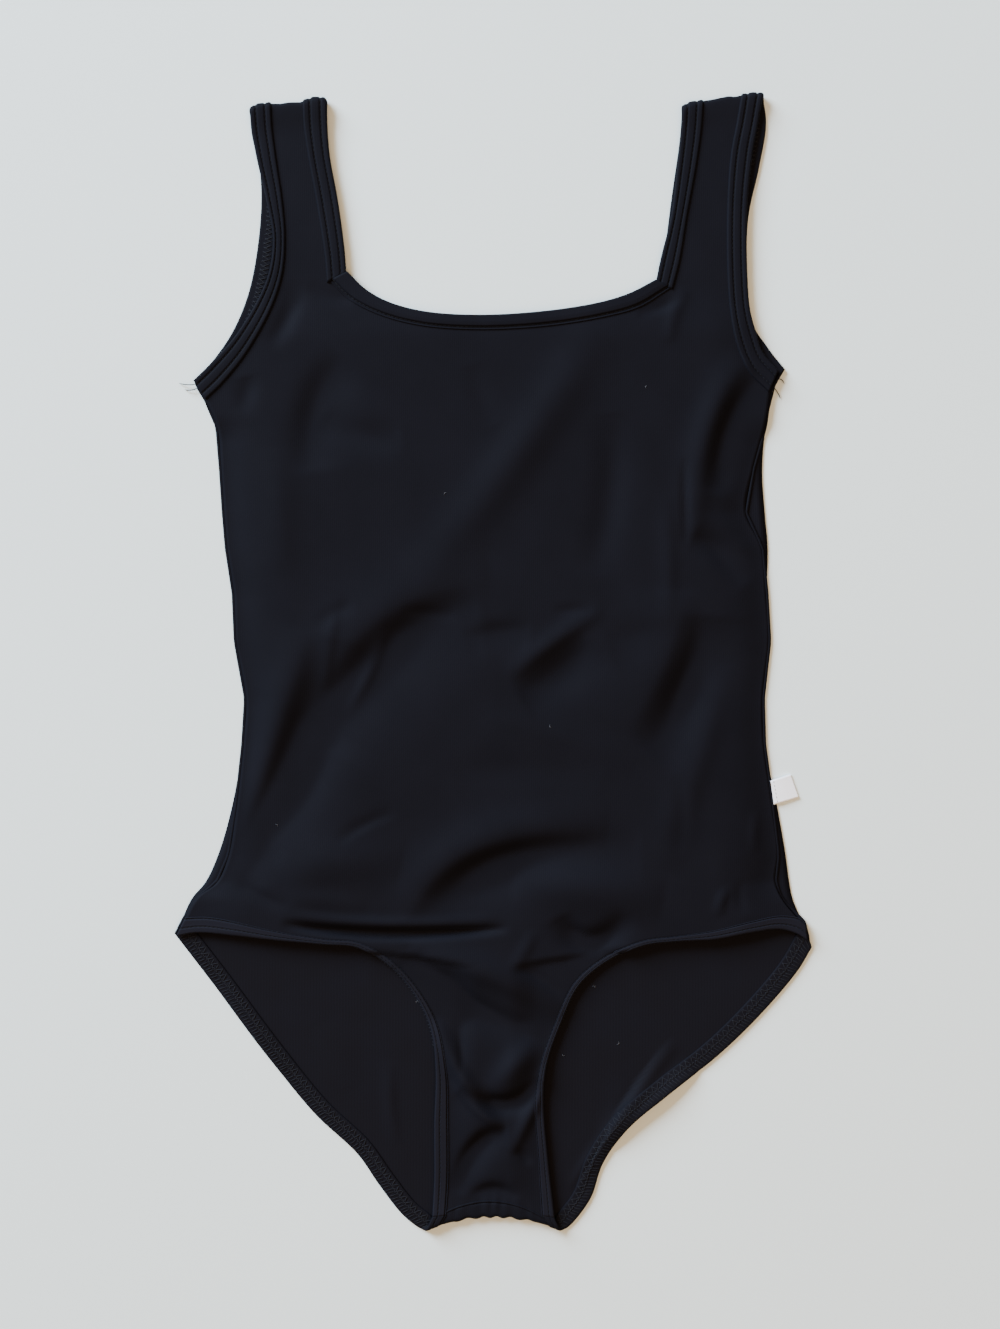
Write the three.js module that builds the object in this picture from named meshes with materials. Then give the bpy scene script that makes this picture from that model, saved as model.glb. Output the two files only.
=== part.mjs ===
// A black scoop-neck leotard with broad straps, laid flat on its back on a table.
// Seen from above: +X to the right, +Y towards the shoulders, +Z up off the table, in millimetres.
// The origin is the middle of the outline, on the table.
import * as THREE from 'three';

// Cloth and trim, driving sizes
const CLOTH = 1.0;
const SEAM_GAP = 0.3;
const BAND_THICK = 2.2;
const CASING_THICK = 2.0;
const LABEL_THICK = 1.0;

// How high the middle of the front layer lies: over the bands, at the side seams, and how it billows
const FRONT_LEVEL = 3.35;
const SIDE_LEVEL = 1.95;
const PUFF = 1.9;
const PUFF_REACH = 34;
const LOWEST_FRONT = 3.0;
const CLAMP_SOFTNESS = 0.5;
const SIDE_ROLL = 7;
const BAND_RISE = 0.4;

// Where the billow and the side roll fade in or out: at a level, over a height
const FADE = {
  torso: { at: -165, over: 20 },
  crotch: { at: -300, over: 24 },
  neckline: { at: 206, over: -30 },
  underarm: { at: 136, over: -16 },
  hip: { at: -131, over: 14 },
};
const CROTCH_HALF = 25;

// Folds are measured to a bent line of this many straights, and taper off at both ends
const FOLD_STRAIGHTS = 12;
const END_TAPER = 0.8;

// Length of cloth that turns over a shoulder or the crotch fold, and how it puffs up there
const TURN = 6;
const TURN_PUFF = 1.1;
const TURN_PUFF_REACH = 9;

// Crotch: the lowest line of the fold, and the seam where the back panel ends on the front
const CROTCH = { foldY: -298.6, foldDrop: 7.5, foldHalf: 38, seamY: -293.2, seamDrop: 6.4, seamHalf: 25 };

// Shoulder fold: its height at the outer and inner side of each strap
const SHOULDER = [
  { x: -132, y: 299.9 },
  { x: -92, y: 304.9 },
  { x: 104, y: 302.0 },
  { x: 147, y: 307.4 },
];

// Side seams, a row for each level from underarm to hip: where front and back end on each side
const SIDES = [
  { y: 142, frontLeft: -156.0, backLeft: -156.5, frontRight: 149.6, backRight: 151.2 },
  { y: 129, frontLeft: -150.3, backLeft: -150.5, frontRight: 147.8, backRight: 148.4 },
  { y: 106, frontLeft: -148.4, backLeft: -148.6, frontRight: 141.5, backRight: 146.3 },
  { y: 82, frontLeft: -146.8, backLeft: -147.0, frontRight: 137.4, backRight: 147.7 },
  { y: 63, frontLeft: -145.2, backLeft: -145.4, frontRight: 146.2, backRight: 149.3 },
  { y: 38, frontLeft: -141.4, backLeft: -141.6, frontRight: 148.6, backRight: 148.9 },
  { y: 12, frontLeft: -140.3, backLeft: -140.6, frontRight: 150.1, backRight: 150.4 },
  { y: -19, frontLeft: -134.7, backLeft: -134.9, frontRight: 146.6, backRight: 146.9 },
  { y: -44, frontLeft: -136.2, backLeft: -136.7, frontRight: 147.3, backRight: 147.7 },
  { y: -77, frontLeft: -139.8, backLeft: -142.2, frontRight: 151.8, backRight: 154.3 },
  { y: -104, frontLeft: -144.0, backLeft: -149.9, frontRight: 155.0, backRight: 159.0 },
  { y: -119, frontLeft: -150.4, backLeft: -156.8, frontRight: 153.4, backRight: 161.0 },
  { y: -128, frontLeft: -161.8, backLeft: -164.3, frontRight: 156.6, backRight: 162.8 },
  { y: -137, frontLeft: -166.6, backLeft: -169.2, frontRight: 165.2, backRight: 167.4 },
];

// Front neckline binding, a row for each section from left strap to right: free edge and seam
const NECKLINE = [
  { edge: [-79.5, 212.8], seam: [-87.9, 208.2] },
  { edge: [-69.5, 203.4], seam: [-77.3, 199.4] },
  { edge: [-57.5, 196.6], seam: [-61.3, 190.6] },
  { edge: [-38.0, 191.2], seam: [-39.0, 184.7] },
  { edge: [-8.0, 189.2], seam: [-8.0, 182.6] },
  { edge: [30.0, 191.6], seam: [30.5, 184.8] },
  { edge: [58.0, 196.2], seam: [60.0, 189.6] },
  { edge: [74.0, 201.2], seam: [78.0, 194.8] },
  { edge: [87.6, 208.0], seam: [93.8, 202.0] },
];

// Binding of the straps and the back neckline, one strip: up the left strap on the front, over the
// shoulder, round the scoop of the back, and over the right shoulder to the front again
const STRAP_NECK_LEFT = [
  { edge: [-80.0, 213.9], seam: [-90.6, 208.4] },
  { edge: [-80.9, 225.0], seam: [-91.7, 222.0] },
  { edge: [-84.5, 251.5], seam: [-96.3, 251.5] },
  { edge: [-88.9, 276.0], seam: [-100.9, 277.0] },
  { edge: [-90.2, 294.0], seam: [-103.2, 294.0] },
];
const BACK_NECK = [
  { edge: [-90.4, 292.0], seam: [-103.2, 292.0] },
  { edge: [-88.0, 254.0], seam: [-99.6, 253.0] },
  { edge: [-84.6, 216.0], seam: [-95.8, 214.0] },
  { edge: [-81.0, 190.0], seam: [-91.8, 186.5] },
  { edge: [-70.0, 160.0], seam: [-79.2, 153.4] },
  { edge: [-44.0, 138.0], seam: [-48.6, 127.4] },
  { edge: [3.0, 130.0], seam: [3.0, 118.8] },
  { edge: [50.0, 138.0], seam: [54.6, 127.4] },
  { edge: [77.0, 161.0], seam: [86.2, 154.4] },
  { edge: [88.0, 190.0], seam: [98.8, 186.5] },
  { edge: [92.0, 216.0], seam: [103.4, 215.0] },
  { edge: [97.0, 254.0], seam: [108.8, 254.0] },
  { edge: [102.0, 292.0], seam: [114.0, 292.0] },
];
const STRAP_NECK_RIGHT = [
  { edge: [102.0, 293.0], seam: [113.4, 294.0] },
  { edge: [99.6, 268.0], seam: [110.4, 271.0] },
  { edge: [96.2, 242.0], seam: [105.4, 243.4] },
  { edge: [90.7, 219.5], seam: [101.4, 219.0] },
  { edge: [88.6, 209.3], seam: [95.6, 202.4] },
];

// Armhole bindings, front part from the side seam to the shoulder, then the back part down again
const ARMHOLE_FRONT_LEFT = [
  { edge: [-163.0, 153.8], seam: [-156.2, 143.4] },
  { edge: [-154.6, 162.0], seam: [-146.8, 152.4] },
  { edge: [-141.4, 176.4], seam: [-133.2, 169.4] },
  { edge: [-129.8, 194.3], seam: [-120.6, 192.4] },
  { edge: [-122.2, 212.0], seam: [-114.4, 212.0] },
  { edge: [-119.9, 231.0], seam: [-113.0, 231.5] },
  { edge: [-123.6, 252.1], seam: [-114.5, 251.0] },
  { edge: [-129.4, 278.0], seam: [-118.3, 277.0] },
  { edge: [-131.8, 294.0], seam: [-120.3, 294.0] },
];
const ARMHOLE_BACK_LEFT = [
  { edge: [-132.0, 291.0], seam: [-120.3, 291.0] },
  { edge: [-127.0, 266.0], seam: [-115.4, 265.0] },
  { edge: [-127.0, 240.0], seam: [-115.2, 239.0] },
  { edge: [-132.5, 204.8], seam: [-121.0, 201.6] },
  { edge: [-141.0, 182.6], seam: [-130.8, 176.4] },
  { edge: [-151.4, 166.6], seam: [-142.4, 158.6] },
  { edge: [-162.8, 154.0], seam: [-156.6, 142.6] },
];
const ARMHOLE_FRONT_RIGHT = [
  { edge: [155.6, 158.6], seam: [149.8, 147.2] },
  { edge: [147.8, 169.6], seam: [139.2, 158.4] },
  { edge: [142.4, 180.6], seam: [132.6, 171.2] },
  { edge: [139.4, 192.0], seam: [129.0, 187.4] },
  { edge: [137.9, 212.0], seam: [127.1, 211.0] },
  { edge: [137.8, 247.0], seam: [126.9, 247.0] },
  { edge: [141.0, 278.0], seam: [128.8, 276.0] },
  { edge: [144.4, 297.0], seam: [132.6, 297.0] },
];
const ARMHOLE_BACK_RIGHT = [
  { edge: [148.4, 294.0], seam: [136.2, 294.0] },
  { edge: [144.6, 270.0], seam: [132.6, 270.0] },
  { edge: [138.8, 243.0], seam: [126.9, 243.0] },
  { edge: [138.2, 210.0], seam: [126.2, 208.0] },
  { edge: [141.6, 184.0], seam: [130.4, 178.6] },
  { edge: [150.0, 171.0], seam: [141.0, 162.4] },
  { edge: [158.6, 160.2], seam: [151.6, 148.4] },
];

// Front leg casings from hip to crotch; the edge rolls under where the strip is narrow
const LEG_FRONT_LEFT = [
  { edge: [-172.4, -148.0], seam: [-167.4, -137.8] },
  { edge: [-161.0, -146.2], seam: [-155.4, -137.6] },
  { edge: [-143.1, -147.4], seam: [-142.6, -139.5] },
  { edge: [-119.1, -150.0], seam: [-118.9, -144.9] },
  { edge: [-92.0, -152.5], seam: [-92.0, -149.4] },
  { edge: [-74.0, -154.2], seam: [-72.4, -151.4] },
  { edge: [-56.5, -164.4], seam: [-54.0, -162.4] },
  { edge: [-42.4, -180.6], seam: [-39.2, -179.2] },
  { edge: [-34.0, -199.0], seam: [-29.6, -198.0] },
  { edge: [-31.4, -222.0], seam: [-25.2, -222.0] },
  { edge: [-32.2, -250.0], seam: [-24.4, -250.0] },
  { edge: [-32.2, -280.0], seam: [-24.4, -280.0] },
  { edge: [-33.2, -300.4], seam: [-25.6, -299.6] },
];
const LEG_FRONT_RIGHT = [
  { edge: [164.8, -146.9], seam: [166.0, -138.2] },
  { edge: [155.4, -144.4], seam: [155.6, -136.9] },
  { edge: [140.9, -145.8], seam: [140.2, -139.7] },
  { edge: [120.0, -149.6], seam: [119.0, -144.8] },
  { edge: [98.9, -150.9], seam: [98.6, -147.8] },
  { edge: [82.0, -153.0], seam: [81.0, -150.2] },
  { edge: [62.0, -161.8], seam: [60.4, -159.4] },
  { edge: [46.6, -175.0], seam: [44.0, -173.0] },
  { edge: [36.6, -196.0], seam: [33.4, -195.0] },
  { edge: [28.6, -219.9], seam: [25.0, -219.6] },
  { edge: [27.4, -240.0], seam: [22.4, -240.0] },
  { edge: [29.6, -268.0], seam: [24.2, -268.0] },
  { edge: [33.2, -300.8], seam: [26.0, -299.8] },
];

// Back leg casings from hip to the crotch fold
const LEG_BACK_LEFT = [
  { edge: [-173.7, -147.0], seam: [-168.6, -138.0] },
  { edge: [-166.6, -156.2], seam: [-158.8, -149.8] },
  { edge: [-149.1, -179.0], seam: [-141.0, -173.0] },
  { edge: [-122.4, -214.5], seam: [-114.6, -208.4] },
  { edge: [-97.4, -245.0], seam: [-90.4, -238.2] },
  { edge: [-74.0, -267.1], seam: [-67.8, -259.6] },
  { edge: [-62.6, -283.4], seam: [-54.4, -278.2] },
  { edge: [-50.0, -299.6], seam: [-42.4, -293.4] },
  { edge: [-41.6, -306.6], seam: [-34.0, -300.4] },
];
const LEG_BACK_RIGHT = [
  { edge: [173.3, -154.6], seam: [168.4, -140.0] },
  { edge: [165.4, -167.6], seam: [157.2, -161.0] },
  { edge: [143.0, -193.6], seam: [135.6, -186.8] },
  { edge: [119.0, -216.2], seam: [112.6, -208.8] },
  { edge: [95.0, -234.2], seam: [89.0, -226.4] },
  { edge: [73.4, -252.4], seam: [66.0, -245.4] },
  { edge: [59.6, -272.2], seam: [50.8, -267.8] },
  { edge: [52.8, -291.4], seam: [43.4, -288.0] },
  { edge: [41.0, -306.6], seam: [34.4, -300.0] },
];

// Largest folds of the front, each a soft ridge (lift above 0) or trough along a bent line
const FRONT_FOLDS = [
  { from: [-102, 18], via: [-119, -45], to: [-146, -112], width: 8, lift: 3.5 },
  { from: [-86, 10], via: [-103, -52], to: [-146, -122], width: 6, lift: -4.9 },
  { from: [-57, 12], via: [-64, -10], to: [-80, -30], width: 5, lift: 2.7 },
  { from: [-14, 30], via: [-55, 16], to: [-118, -94], width: 6.5, lift: -4.6 },
  { from: [60, 30], via: [28, 10], to: [8, -8], width: 6, lift: 2.7 },
  { from: [54, 14], via: [32, -4], to: [8, -20], width: 5, lift: -3.2 },
  { from: [48, 20], via: [132, 24], to: [86, -46], width: 8, lift: -3.8 },
  { from: [126, 0], via: [112, -50], to: [92, -112], width: 8, lift: 2.4 },
  { from: [-50, -142], via: [-26, -84], to: [62, -92], width: 7, lift: 4.3 },
  { from: [-28, -132], via: [-6, -96], to: [78, -99], width: 6, lift: -4.6 },
  { from: [-116, -116], via: [-84, -102], to: [-50, -110], width: 12, lift: 2.4 },
  { from: [-114, -143], via: [-86, -141], to: [12, -147], width: 4, lift: -4.3 },
  { from: [10, -118], via: [46, -120], to: [92, -128], width: 12, lift: 3.0 },
  { from: [36, -137], via: [50, -166], to: [74, -136], width: 6, lift: -4.1 },
  { from: [-46, -158], via: [-8, -160], to: [38, -190], width: 7, lift: 3.2 },
  { from: [-46, -158], via: [-32, -182], to: [31, -204], width: 6, lift: -4.1 },
  { from: [2, -232], via: [10, -214], to: [22, -205], width: 8, lift: 3.0 },
  { from: [-14, -232], via: [6, -246], to: [24, -228], width: 5, lift: -3.2 },
  { from: [-31, -192], via: [-18, -226], to: [2, -252], width: 4, lift: 2.6 },
  { from: [10, -254], via: [-14, -256], to: [-17, -286], width: 6, lift: -3.2 },
  { from: [138, 166], via: [112, 140], to: [109, 68], width: 5, lift: 4.6 },
  { from: [150, 152], via: [124, 132], to: [122, 92], width: 8, lift: -4.1 },
  { from: [108, 70], via: [124, 64], to: [138, 44], width: 7, lift: -3.0 },
  { from: [58, 184], via: [22, 118], to: [-42, 44], width: 12, lift: 2.7 },
  { from: [-80, 166], via: [-104, 142], to: [-98, 104], width: 8, lift: -3.2 },
  { from: [-90, 132], via: [-62, 116], to: [-38, 124], width: 6, lift: -2.4 },
  { from: [64, 136], via: [68, 92], to: [54, 48], width: 9, lift: -1.9 },
  { from: [-106, 208], via: [-110, 186], to: [-122, 172], width: 5, lift: -1.6 },
];

// Places where the back layer stands off the table or creases where it shows in the leg openings
const BACK_FOLDS = [
  { from: [100, -204], via: [72, -240], to: [42, -286], width: 5, lift: 2.6 },
  { from: [112, -222], via: [88, -240], to: [62, -262], width: 9, lift: 4.4 },
  { from: [-150, -176], via: [-130, -202], to: [-112, -224], width: 6, lift: 1.4 },
];

// Label of folded white ribbon, caught in the right side seam below the waist
const LABEL = [
  { x: 153.0, low: -76.4, high: -62.6, z: 1.0 },
  { x: 157.4, low: -75.2, high: -61.6, z: 1.2 },
  { x: 161.6, low: -74.2, high: -60.8, z: 1.0 },
  { x: 165.4, low: -73.2, high: -60.2, z: 0.7 },
];
const LABEL_SEAM_GAP = 1.3;
const LABEL_LEAN = -0.09;

// How finely the panels are divided: steps along each stretch of their edges
const FRONT_STEPS = { leg: 11, crotchWidth: 10, crotchSide: 14, side: 26, arm: 8, strapWidth: 4, strap: 7 };
const FRONT_NECK_STEPS = 2 * FRONT_STEPS.leg + FRONT_STEPS.crotchWidth - 2 * FRONT_STEPS.strapWidth - 2;
const BACK_STEPS = { leg: 10, side: 12, arm: 6, strapWidth: 2, neck: 18, strap: 8 };
const TURN_STEPS = 6;
const CLOSEST_STATIONS = 0.0004;
const LENGTH_SAMPLES = 120;
const HALVINGS = 40;

// Shares of a strip's length between which its meeting points are looked for
const SEARCH = { armFront: 0.5, armOver: 0.9, armBack: 0.6, neckLeft: 0.2, neckMiddle: 0.5, neckRight: 0.8 };

// Level on the front where the torso narrows into the crotch, and on the back where straps begin
const CROTCH_TOP = -166;
const BACK_STRAP_BASE = 196;

// How far the front straps reach past the shoulder fold, on flat cloth, to the shoulder seam
const PAST_SHOULDER = TURN + 3;

const BLACK_KNIT = new THREE.MeshStandardMaterial({ color: 0x17181d, roughness: 0.62, metalness: 0 });
const BLACK_BINDING = new THREE.MeshStandardMaterial({ color: 0x1b1c22, roughness: 0.52, metalness: 0 });
const BLACK_CASING = new THREE.MeshStandardMaterial({ color: 0x191a1f, roughness: 0.6, metalness: 0 });
const WHITE_RIBBON = new THREE.MeshStandardMaterial({ color: 0xe9e7e3, roughness: 0.55, metalness: 0 });

const clamp01 = (t) => Math.min(1, Math.max(0, t));
const mix = (a, b, t) => a + (b - a) * t;
const mixPoint = (a, b, t) => [mix(a[0], b[0], t), mix(a[1], b[1], t)];
const smooth = (t) => clamp01(t) ** 2 * (3 - 2 * clamp01(t));
const bell = (d, width) => Math.exp(-((d / width) ** 2));

// Value of a named column at a level, straight between the rows, which run down or up in the key
function column(rows, key, name, at) {
  const sign = Math.sign(rows[1][key] - rows[0][key]);
  let i = 0;
  while (i < rows.length - 2 && sign * (at - rows[i + 1][key]) > 0) i += 1;
  const t = clamp01((at - rows[i][key]) / (rows[i + 1][key] - rows[i][key]));
  return mix(rows[i][name], rows[i + 1][name], t);
}

const shoulderLine = (x) => column(SHOULDER, 'x', 'y', x);
const crotchLine = (x) => CROTCH.foldY - CROTCH.foldDrop * (x / CROTCH.foldHalf) ** 2;
const crotchSeam = (x) => CROTCH.seamY - CROTCH.seamDrop * (x / CROTCH.seamHalf) ** 2;

// A bent line as a quadratic curve, sampled for distances
function bentLine({ from, via, to }) {
  const ends = [from, via, to].map((place) => new THREE.Vector2(...place));
  return new THREE.QuadraticBezierCurve(...ends).getPoints(FOLD_STRAIGHTS);
}
const withLine = (fold) => ({ ...fold, line: bentLine(fold) });
const frontFolds = FRONT_FOLDS.map(withLine);
const backFolds = BACK_FOLDS.map(withLine);

// Height that one fold adds at a place, fading to nothing at both of its ends
function foldHeight(fold, x, y) {
  let best = Infinity;
  let along = 0;
  const last = fold.line.length - 1;
  for (let i = 0; i < last; i += 1) {
    const a = fold.line[i];
    const b = fold.line[i + 1];
    const dx = b.x - a.x;
    const dy = b.y - a.y;
    const t = clamp01(((x - a.x) * dx + (y - a.y) * dy) / (dx * dx + dy * dy));
    const d = Math.hypot(x - a.x - dx * t, y - a.y - dy * t);
    if (d < best) {
      best = d;
      along = (i + t) / last;
    }
  }
  return fold.lift * bell(best, fold.width) * Math.sin(Math.PI * along) ** END_TAPER;
}
const foldsAt = (folds, x, y) => folds.reduce((sum, fold) => sum + foldHeight(fold, x, y), 0);

// Middle height of the front layer: billowing away from its edges, never below the bands under it,
// and coming down to the back layer at the side seams
function frontHeight(x, y) {
  const fade = ({ at, over }) => smooth((y - at) / over);
  const inTorso = fade(FADE.torso);
  const left = mix(-CROTCH_HALF, column(SIDES, 'y', 'frontLeft', y), inTorso);
  const right = mix(CROTCH_HALF, column(SIDES, 'y', 'frontRight', y), inTorso);
  const inside = Math.min(x - left, right - x);
  const puffReach = mix(PUFF_REACH / 2, PUFF_REACH, inTorso);
  const puff = PUFF * smooth(inside / puffReach) * fade(FADE.neckline) * fade(FADE.crotch);
  const raised = FRONT_LEVEL + puff + foldsAt(frontFolds, x, y) - LOWEST_FRONT;
  const clear = LOWEST_FRONT + (raised + Math.hypot(raised, CLAMP_SOFTNESS)) / 2;
  const roll = fade(FADE.underarm) * fade(FADE.hip) * bell(Math.max(0, inside), SIDE_ROLL);
  const turn = bell(y - shoulderLine(x), TURN_PUFF_REACH) + bell(y - crotchLine(x), TURN_PUFF_REACH);
  return mix(clear, SIDE_LEVEL, roll) + TURN_PUFF * turn;
}
const backLift = (x, y) => foldsAt(backFolds, x, y);

// Cloth that turns over a fold. A piece is drawn on flat cloth, where y runs on past the fold line;
// these give the place in space of a point of its middle surface. A level says how far the middle of
// a piece lies above the panel's on the front layer, and above the table on the back layer.
const PANEL = { front: 0, back: CLOTH / 2 };
const BAND = { front: BAND_RISE, back: BAND_THICK / 2 };
const CASING = { front: BAND_RISE, back: CASING_THICK / 2 };

function turned(x, y, line, down, level) {
  const past = down * (line - y);
  const top = (yy) => frontHeight(x, yy) + level.front;
  const bottom = (yy) => backLift(x, yy) + level.back;
  const radius = (top(line) - bottom(line)) / 2;
  const centre = (top(line) + bottom(line)) / 2;
  return { past, top, bottom, radius, centre };
}

// From the front layer over the shoulder to the back layer
function overShoulder(level) {
  return (x, y) => {
    const line = shoulderLine(x);
    const { past, top, bottom, radius, centre } = turned(x, y, line, -1, level);
    if (past <= 0) return new THREE.Vector3(x, y, top(y));
    if (past >= TURN) return new THREE.Vector3(x, line - (past - TURN), bottom(line - (past - TURN)));
    const angle = (Math.PI * past) / TURN;
    return new THREE.Vector3(x, line + radius * Math.sin(angle), centre + radius * Math.cos(angle));
  };
}

// From the back layer round the crotch fold to the front layer
function roundCrotch(level) {
  return (x, y) => {
    const line = crotchLine(x);
    const { past, top, bottom, radius, centre } = turned(x, y, line, 1, level);
    if (past <= 0) return new THREE.Vector3(x, y, bottom(y));
    if (past >= TURN) return new THREE.Vector3(x, line + (past - TURN), top(line + (past - TURN)));
    const angle = (Math.PI * past) / TURN;
    return new THREE.Vector3(x, line - radius * Math.sin(angle), centre - radius * Math.cos(angle));
  };
}
const acrossShoulder = ([x, y]) => [x, 2 * shoulderLine(x) + TURN - y];
const acrossCrotch = ([x, y]) => [x, 2 * crotchLine(x) - TURN - y];

// Normal of a surface at a place on the flat cloth
const NUDGE = 0.04;
function normalAt(surface, x, y) {
  const alongX = surface(x + NUDGE, y).sub(surface(x - NUDGE, y));
  const alongY = surface(x, y + NUDGE).sub(surface(x, y - NUDGE));
  return alongX.cross(alongY).normalize();
}

function geometryOf(points, triangles) {
  const geometry = new THREE.BufferGeometry();
  geometry.setAttribute('position', new THREE.Float32BufferAttribute(points.flatMap((p) => p.toArray()), 3));
  geometry.setIndex(triangles.flat());
  geometry.computeVertexNormals();
  return geometry;
}

// A wall of cloth on blocks of a grid drawn on the flat cloth, closed all round by its rim
function clothWall(blocks, surface, thickness = CLOTH) {
  const places = new Map();
  const flat = [];
  const number = ([x, y]) => {
    const key = `${x.toFixed(3)} ${y.toFixed(3)}`;
    if (!places.has(key)) {
      places.set(key, flat.length);
      flat.push([x, y]);
    }
    return places.get(key);
  };
  const faces = [];
  for (const rows of blocks) {
    for (let j = 0; j < rows.length - 1; j += 1) {
      for (let i = 0; i < rows[j].length - 1; i += 1) {
        const [a, b, c, d] = [rows[j][i], rows[j][i + 1], rows[j + 1][i + 1], rows[j + 1][i]].map(number);
        faces.push([a, b, c], [a, c, d]);
      }
    }
  }
  const open = new Map();
  for (const face of faces) {
    face.forEach((a, k) => {
      const b = face[(k + 1) % 3];
      if (!open.delete(`${b} ${a}`)) open.set(`${a} ${b}`, [a, b]);
    });
  }
  const count = flat.length;
  const points = [];
  for (const side of [0.5, -0.5]) {
    for (const [x, y] of flat) {
      points.push(surface(x, y).addScaledVector(normalAt(surface, x, y), side * thickness));
    }
  }
  const triangles = [...faces, ...faces.map(([a, b, c]) => [a + count, c + count, b + count])];
  for (const [a, b] of open.values()) {
    triangles.push([b, a, a + count], [b, a + count, b + count]);
  }
  return geometryOf(points, triangles);
}

// A sewn strip's smooth edge and seam lines, t from 0 to 1, with the stations where its section is
// set: wherever the grid of a panel meets it, so that strip and panel bend at the same places
class Trim {
  constructor(sections) {
    const curve = (name) => new THREE.CatmullRomCurve3(
      sections.map((row) => new THREE.Vector3(row[name][0], row[name][1], 0)),
      false,
      'centripetal',
    );
    this.lines = { edge: curve('edge'), seam: curve('seam') };
    this.stations = new Set([0, 1]);
    this.panel = this.panel.bind(this);
  }

  point(name, t) {
    const { x, y } = this.lines[name].getPoint(clamp01(t));
    return [x, y];
  }

  // The panel's own edge along the seam, parted from the strip by the seam gap
  panel(t) {
    const e = this.point('edge', t);
    const s = this.point('seam', t);
    return mixPoint(e, s, 1 + SEAM_GAP / Math.hypot(s[0] - e[0], s[1] - e[1]));
  }

  // Points of the panel's edge at given stations
  meet(stations) {
    stations.forEach((t) => this.stations.add(t));
    return stations.map(this.panel);
  }
}

// Triangles of a section's end, fanned from its two lower corners, which are listed last
function capFaces(profile) {
  const [right, left] = [profile.length - 2, profile.length - 1];
  let crest = 1;
  for (let k = 2; k < right - 1; k += 1) {
    if (Math.abs(profile[k].across - 0.5) < Math.abs(profile[crest].across - 0.5)) crest = k;
  }
  const faces = [[left, crest, right]];
  for (let k = 0; k < right - 1; k += 1) faces.push([k < crest ? left : right, k, k + 1]);
  return faces;
}

// A sewn strip swept along its lines: profile points are across (0 at the edge, 1 at the seam) and
// height from the middle, listed round the section
function strip(trim, profile, surface, outward) {
  const stations = [...trim.stations].sort((a, b) => a - b)
    .filter((t, i, all) => i === 0 || t - all[i - 1] > CLOSEST_STATIONS);
  const steps = stations.length - 1;
  const place = (t, { across, height }) => {
    const [x, y] = mixPoint(trim.point('edge', t), trim.point('seam', t), across);
    return surface(x, y).addScaledVector(normalAt(surface, x, y), outward * height);
  };
  const points = stations.flatMap((t) => profile.map((corner) => place(t, corner)));
  const ring = profile.length;
  const triangles = [];
  for (let i = 0; i < steps; i += 1) {
    for (let k = 0; k < ring; k += 1) {
      const a = i * ring + k;
      const b = i * ring + ((k + 1) % ring);
      triangles.push([a, b, b + ring], [a, b + ring, a + ring]);
    }
  }
  const end = steps * ring;
  for (const [a, b, c] of capFaces(profile)) {
    triangles.push([a, c, b], [a + end, b + end, c + end]);
  }
  const geometry = geometryOf(points, triangles);
  return volume(geometry) < 0 ? insideOut(geometry) : geometry;
}

function volume(geometry) {
  const p = geometry.getAttribute('position');
  const index = geometry.getIndex();
  const [a, b, c] = [new THREE.Vector3(), new THREE.Vector3(), new THREE.Vector3()];
  let sum = 0;
  for (let i = 0; i < index.count; i += 3) {
    a.fromBufferAttribute(p, index.getX(i));
    b.fromBufferAttribute(p, index.getX(i + 1));
    c.fromBufferAttribute(p, index.getX(i + 2));
    sum += a.dot(b.cross(c)) / 6;
  }
  return sum;
}

function insideOut(geometry) {
  const index = [...geometry.getIndex().array];
  for (let i = 0; i < index.length; i += 3) {
    [index[i + 1], index[i + 2]] = [index[i + 2], index[i + 1]];
  }
  geometry.setIndex(index);
  geometry.computeVertexNormals();
  return geometry;
}

// Section of a binding: three rounded ribs parted by two stitched grooves, plain inside
function bindingProfile(thick) {
  const h = thick / 2;
  return [
    { across: 0.0, height: -0.4 * h },
    { across: 0.03, height: 0.5 * h },
    { across: 0.14, height: h },
    { across: 0.27, height: 0.55 * h },
    { across: 0.48, height: h },
    { across: 0.7, height: 0.55 * h },
    { across: 0.84, height: 0.95 * h },
    { across: 1.0, height: 0.4 * h },
    { across: 1.0, height: -0.8 * h },
    { across: 0.06, height: -h },
  ];
}

// Section of a single rounded hump: the neckline binding and the elastic casings
function casingProfile(thick) {
  const h = thick / 2;
  return [
    { across: 0.0, height: -0.3 * h },
    { across: 0.08, height: 0.6 * h },
    { across: 0.35, height: h },
    { across: 0.7, height: 0.9 * h },
    { across: 1.0, height: 0.3 * h },
    { across: 1.0, height: -0.8 * h },
    { across: 0.08, height: -h },
  ];
}

const straight = (a, b) => (t) => mixPoint(a, b, t);
const evenly = (line, steps) => Array.from({ length: steps + 1 }, (_, i) => line(i / steps));

// Values of t that divide a stretch of a line into even lengths
function stationsOf(line, from, to, steps) {
  const lengths = [0];
  let last = line(from);
  for (let i = 1; i <= LENGTH_SAMPLES; i += 1) {
    const point = line(mix(from, to, i / LENGTH_SAMPLES));
    lengths.push(lengths[i - 1] + Math.hypot(point[0] - last[0], point[1] - last[1]));
    last = point;
  }
  return Array.from({ length: steps + 1 }, (_, k) => {
    const target = (k / steps) * lengths[LENGTH_SAMPLES];
    let i = 0;
    while (i < LENGTH_SAMPLES - 1 && lengths[i + 1] < target) i += 1;
    const share = clamp01((target - lengths[i]) / (lengths[i + 1] - lengths[i]));
    return mix(from, to, (i + share) / LENGTH_SAMPLES);
  });
}

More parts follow.
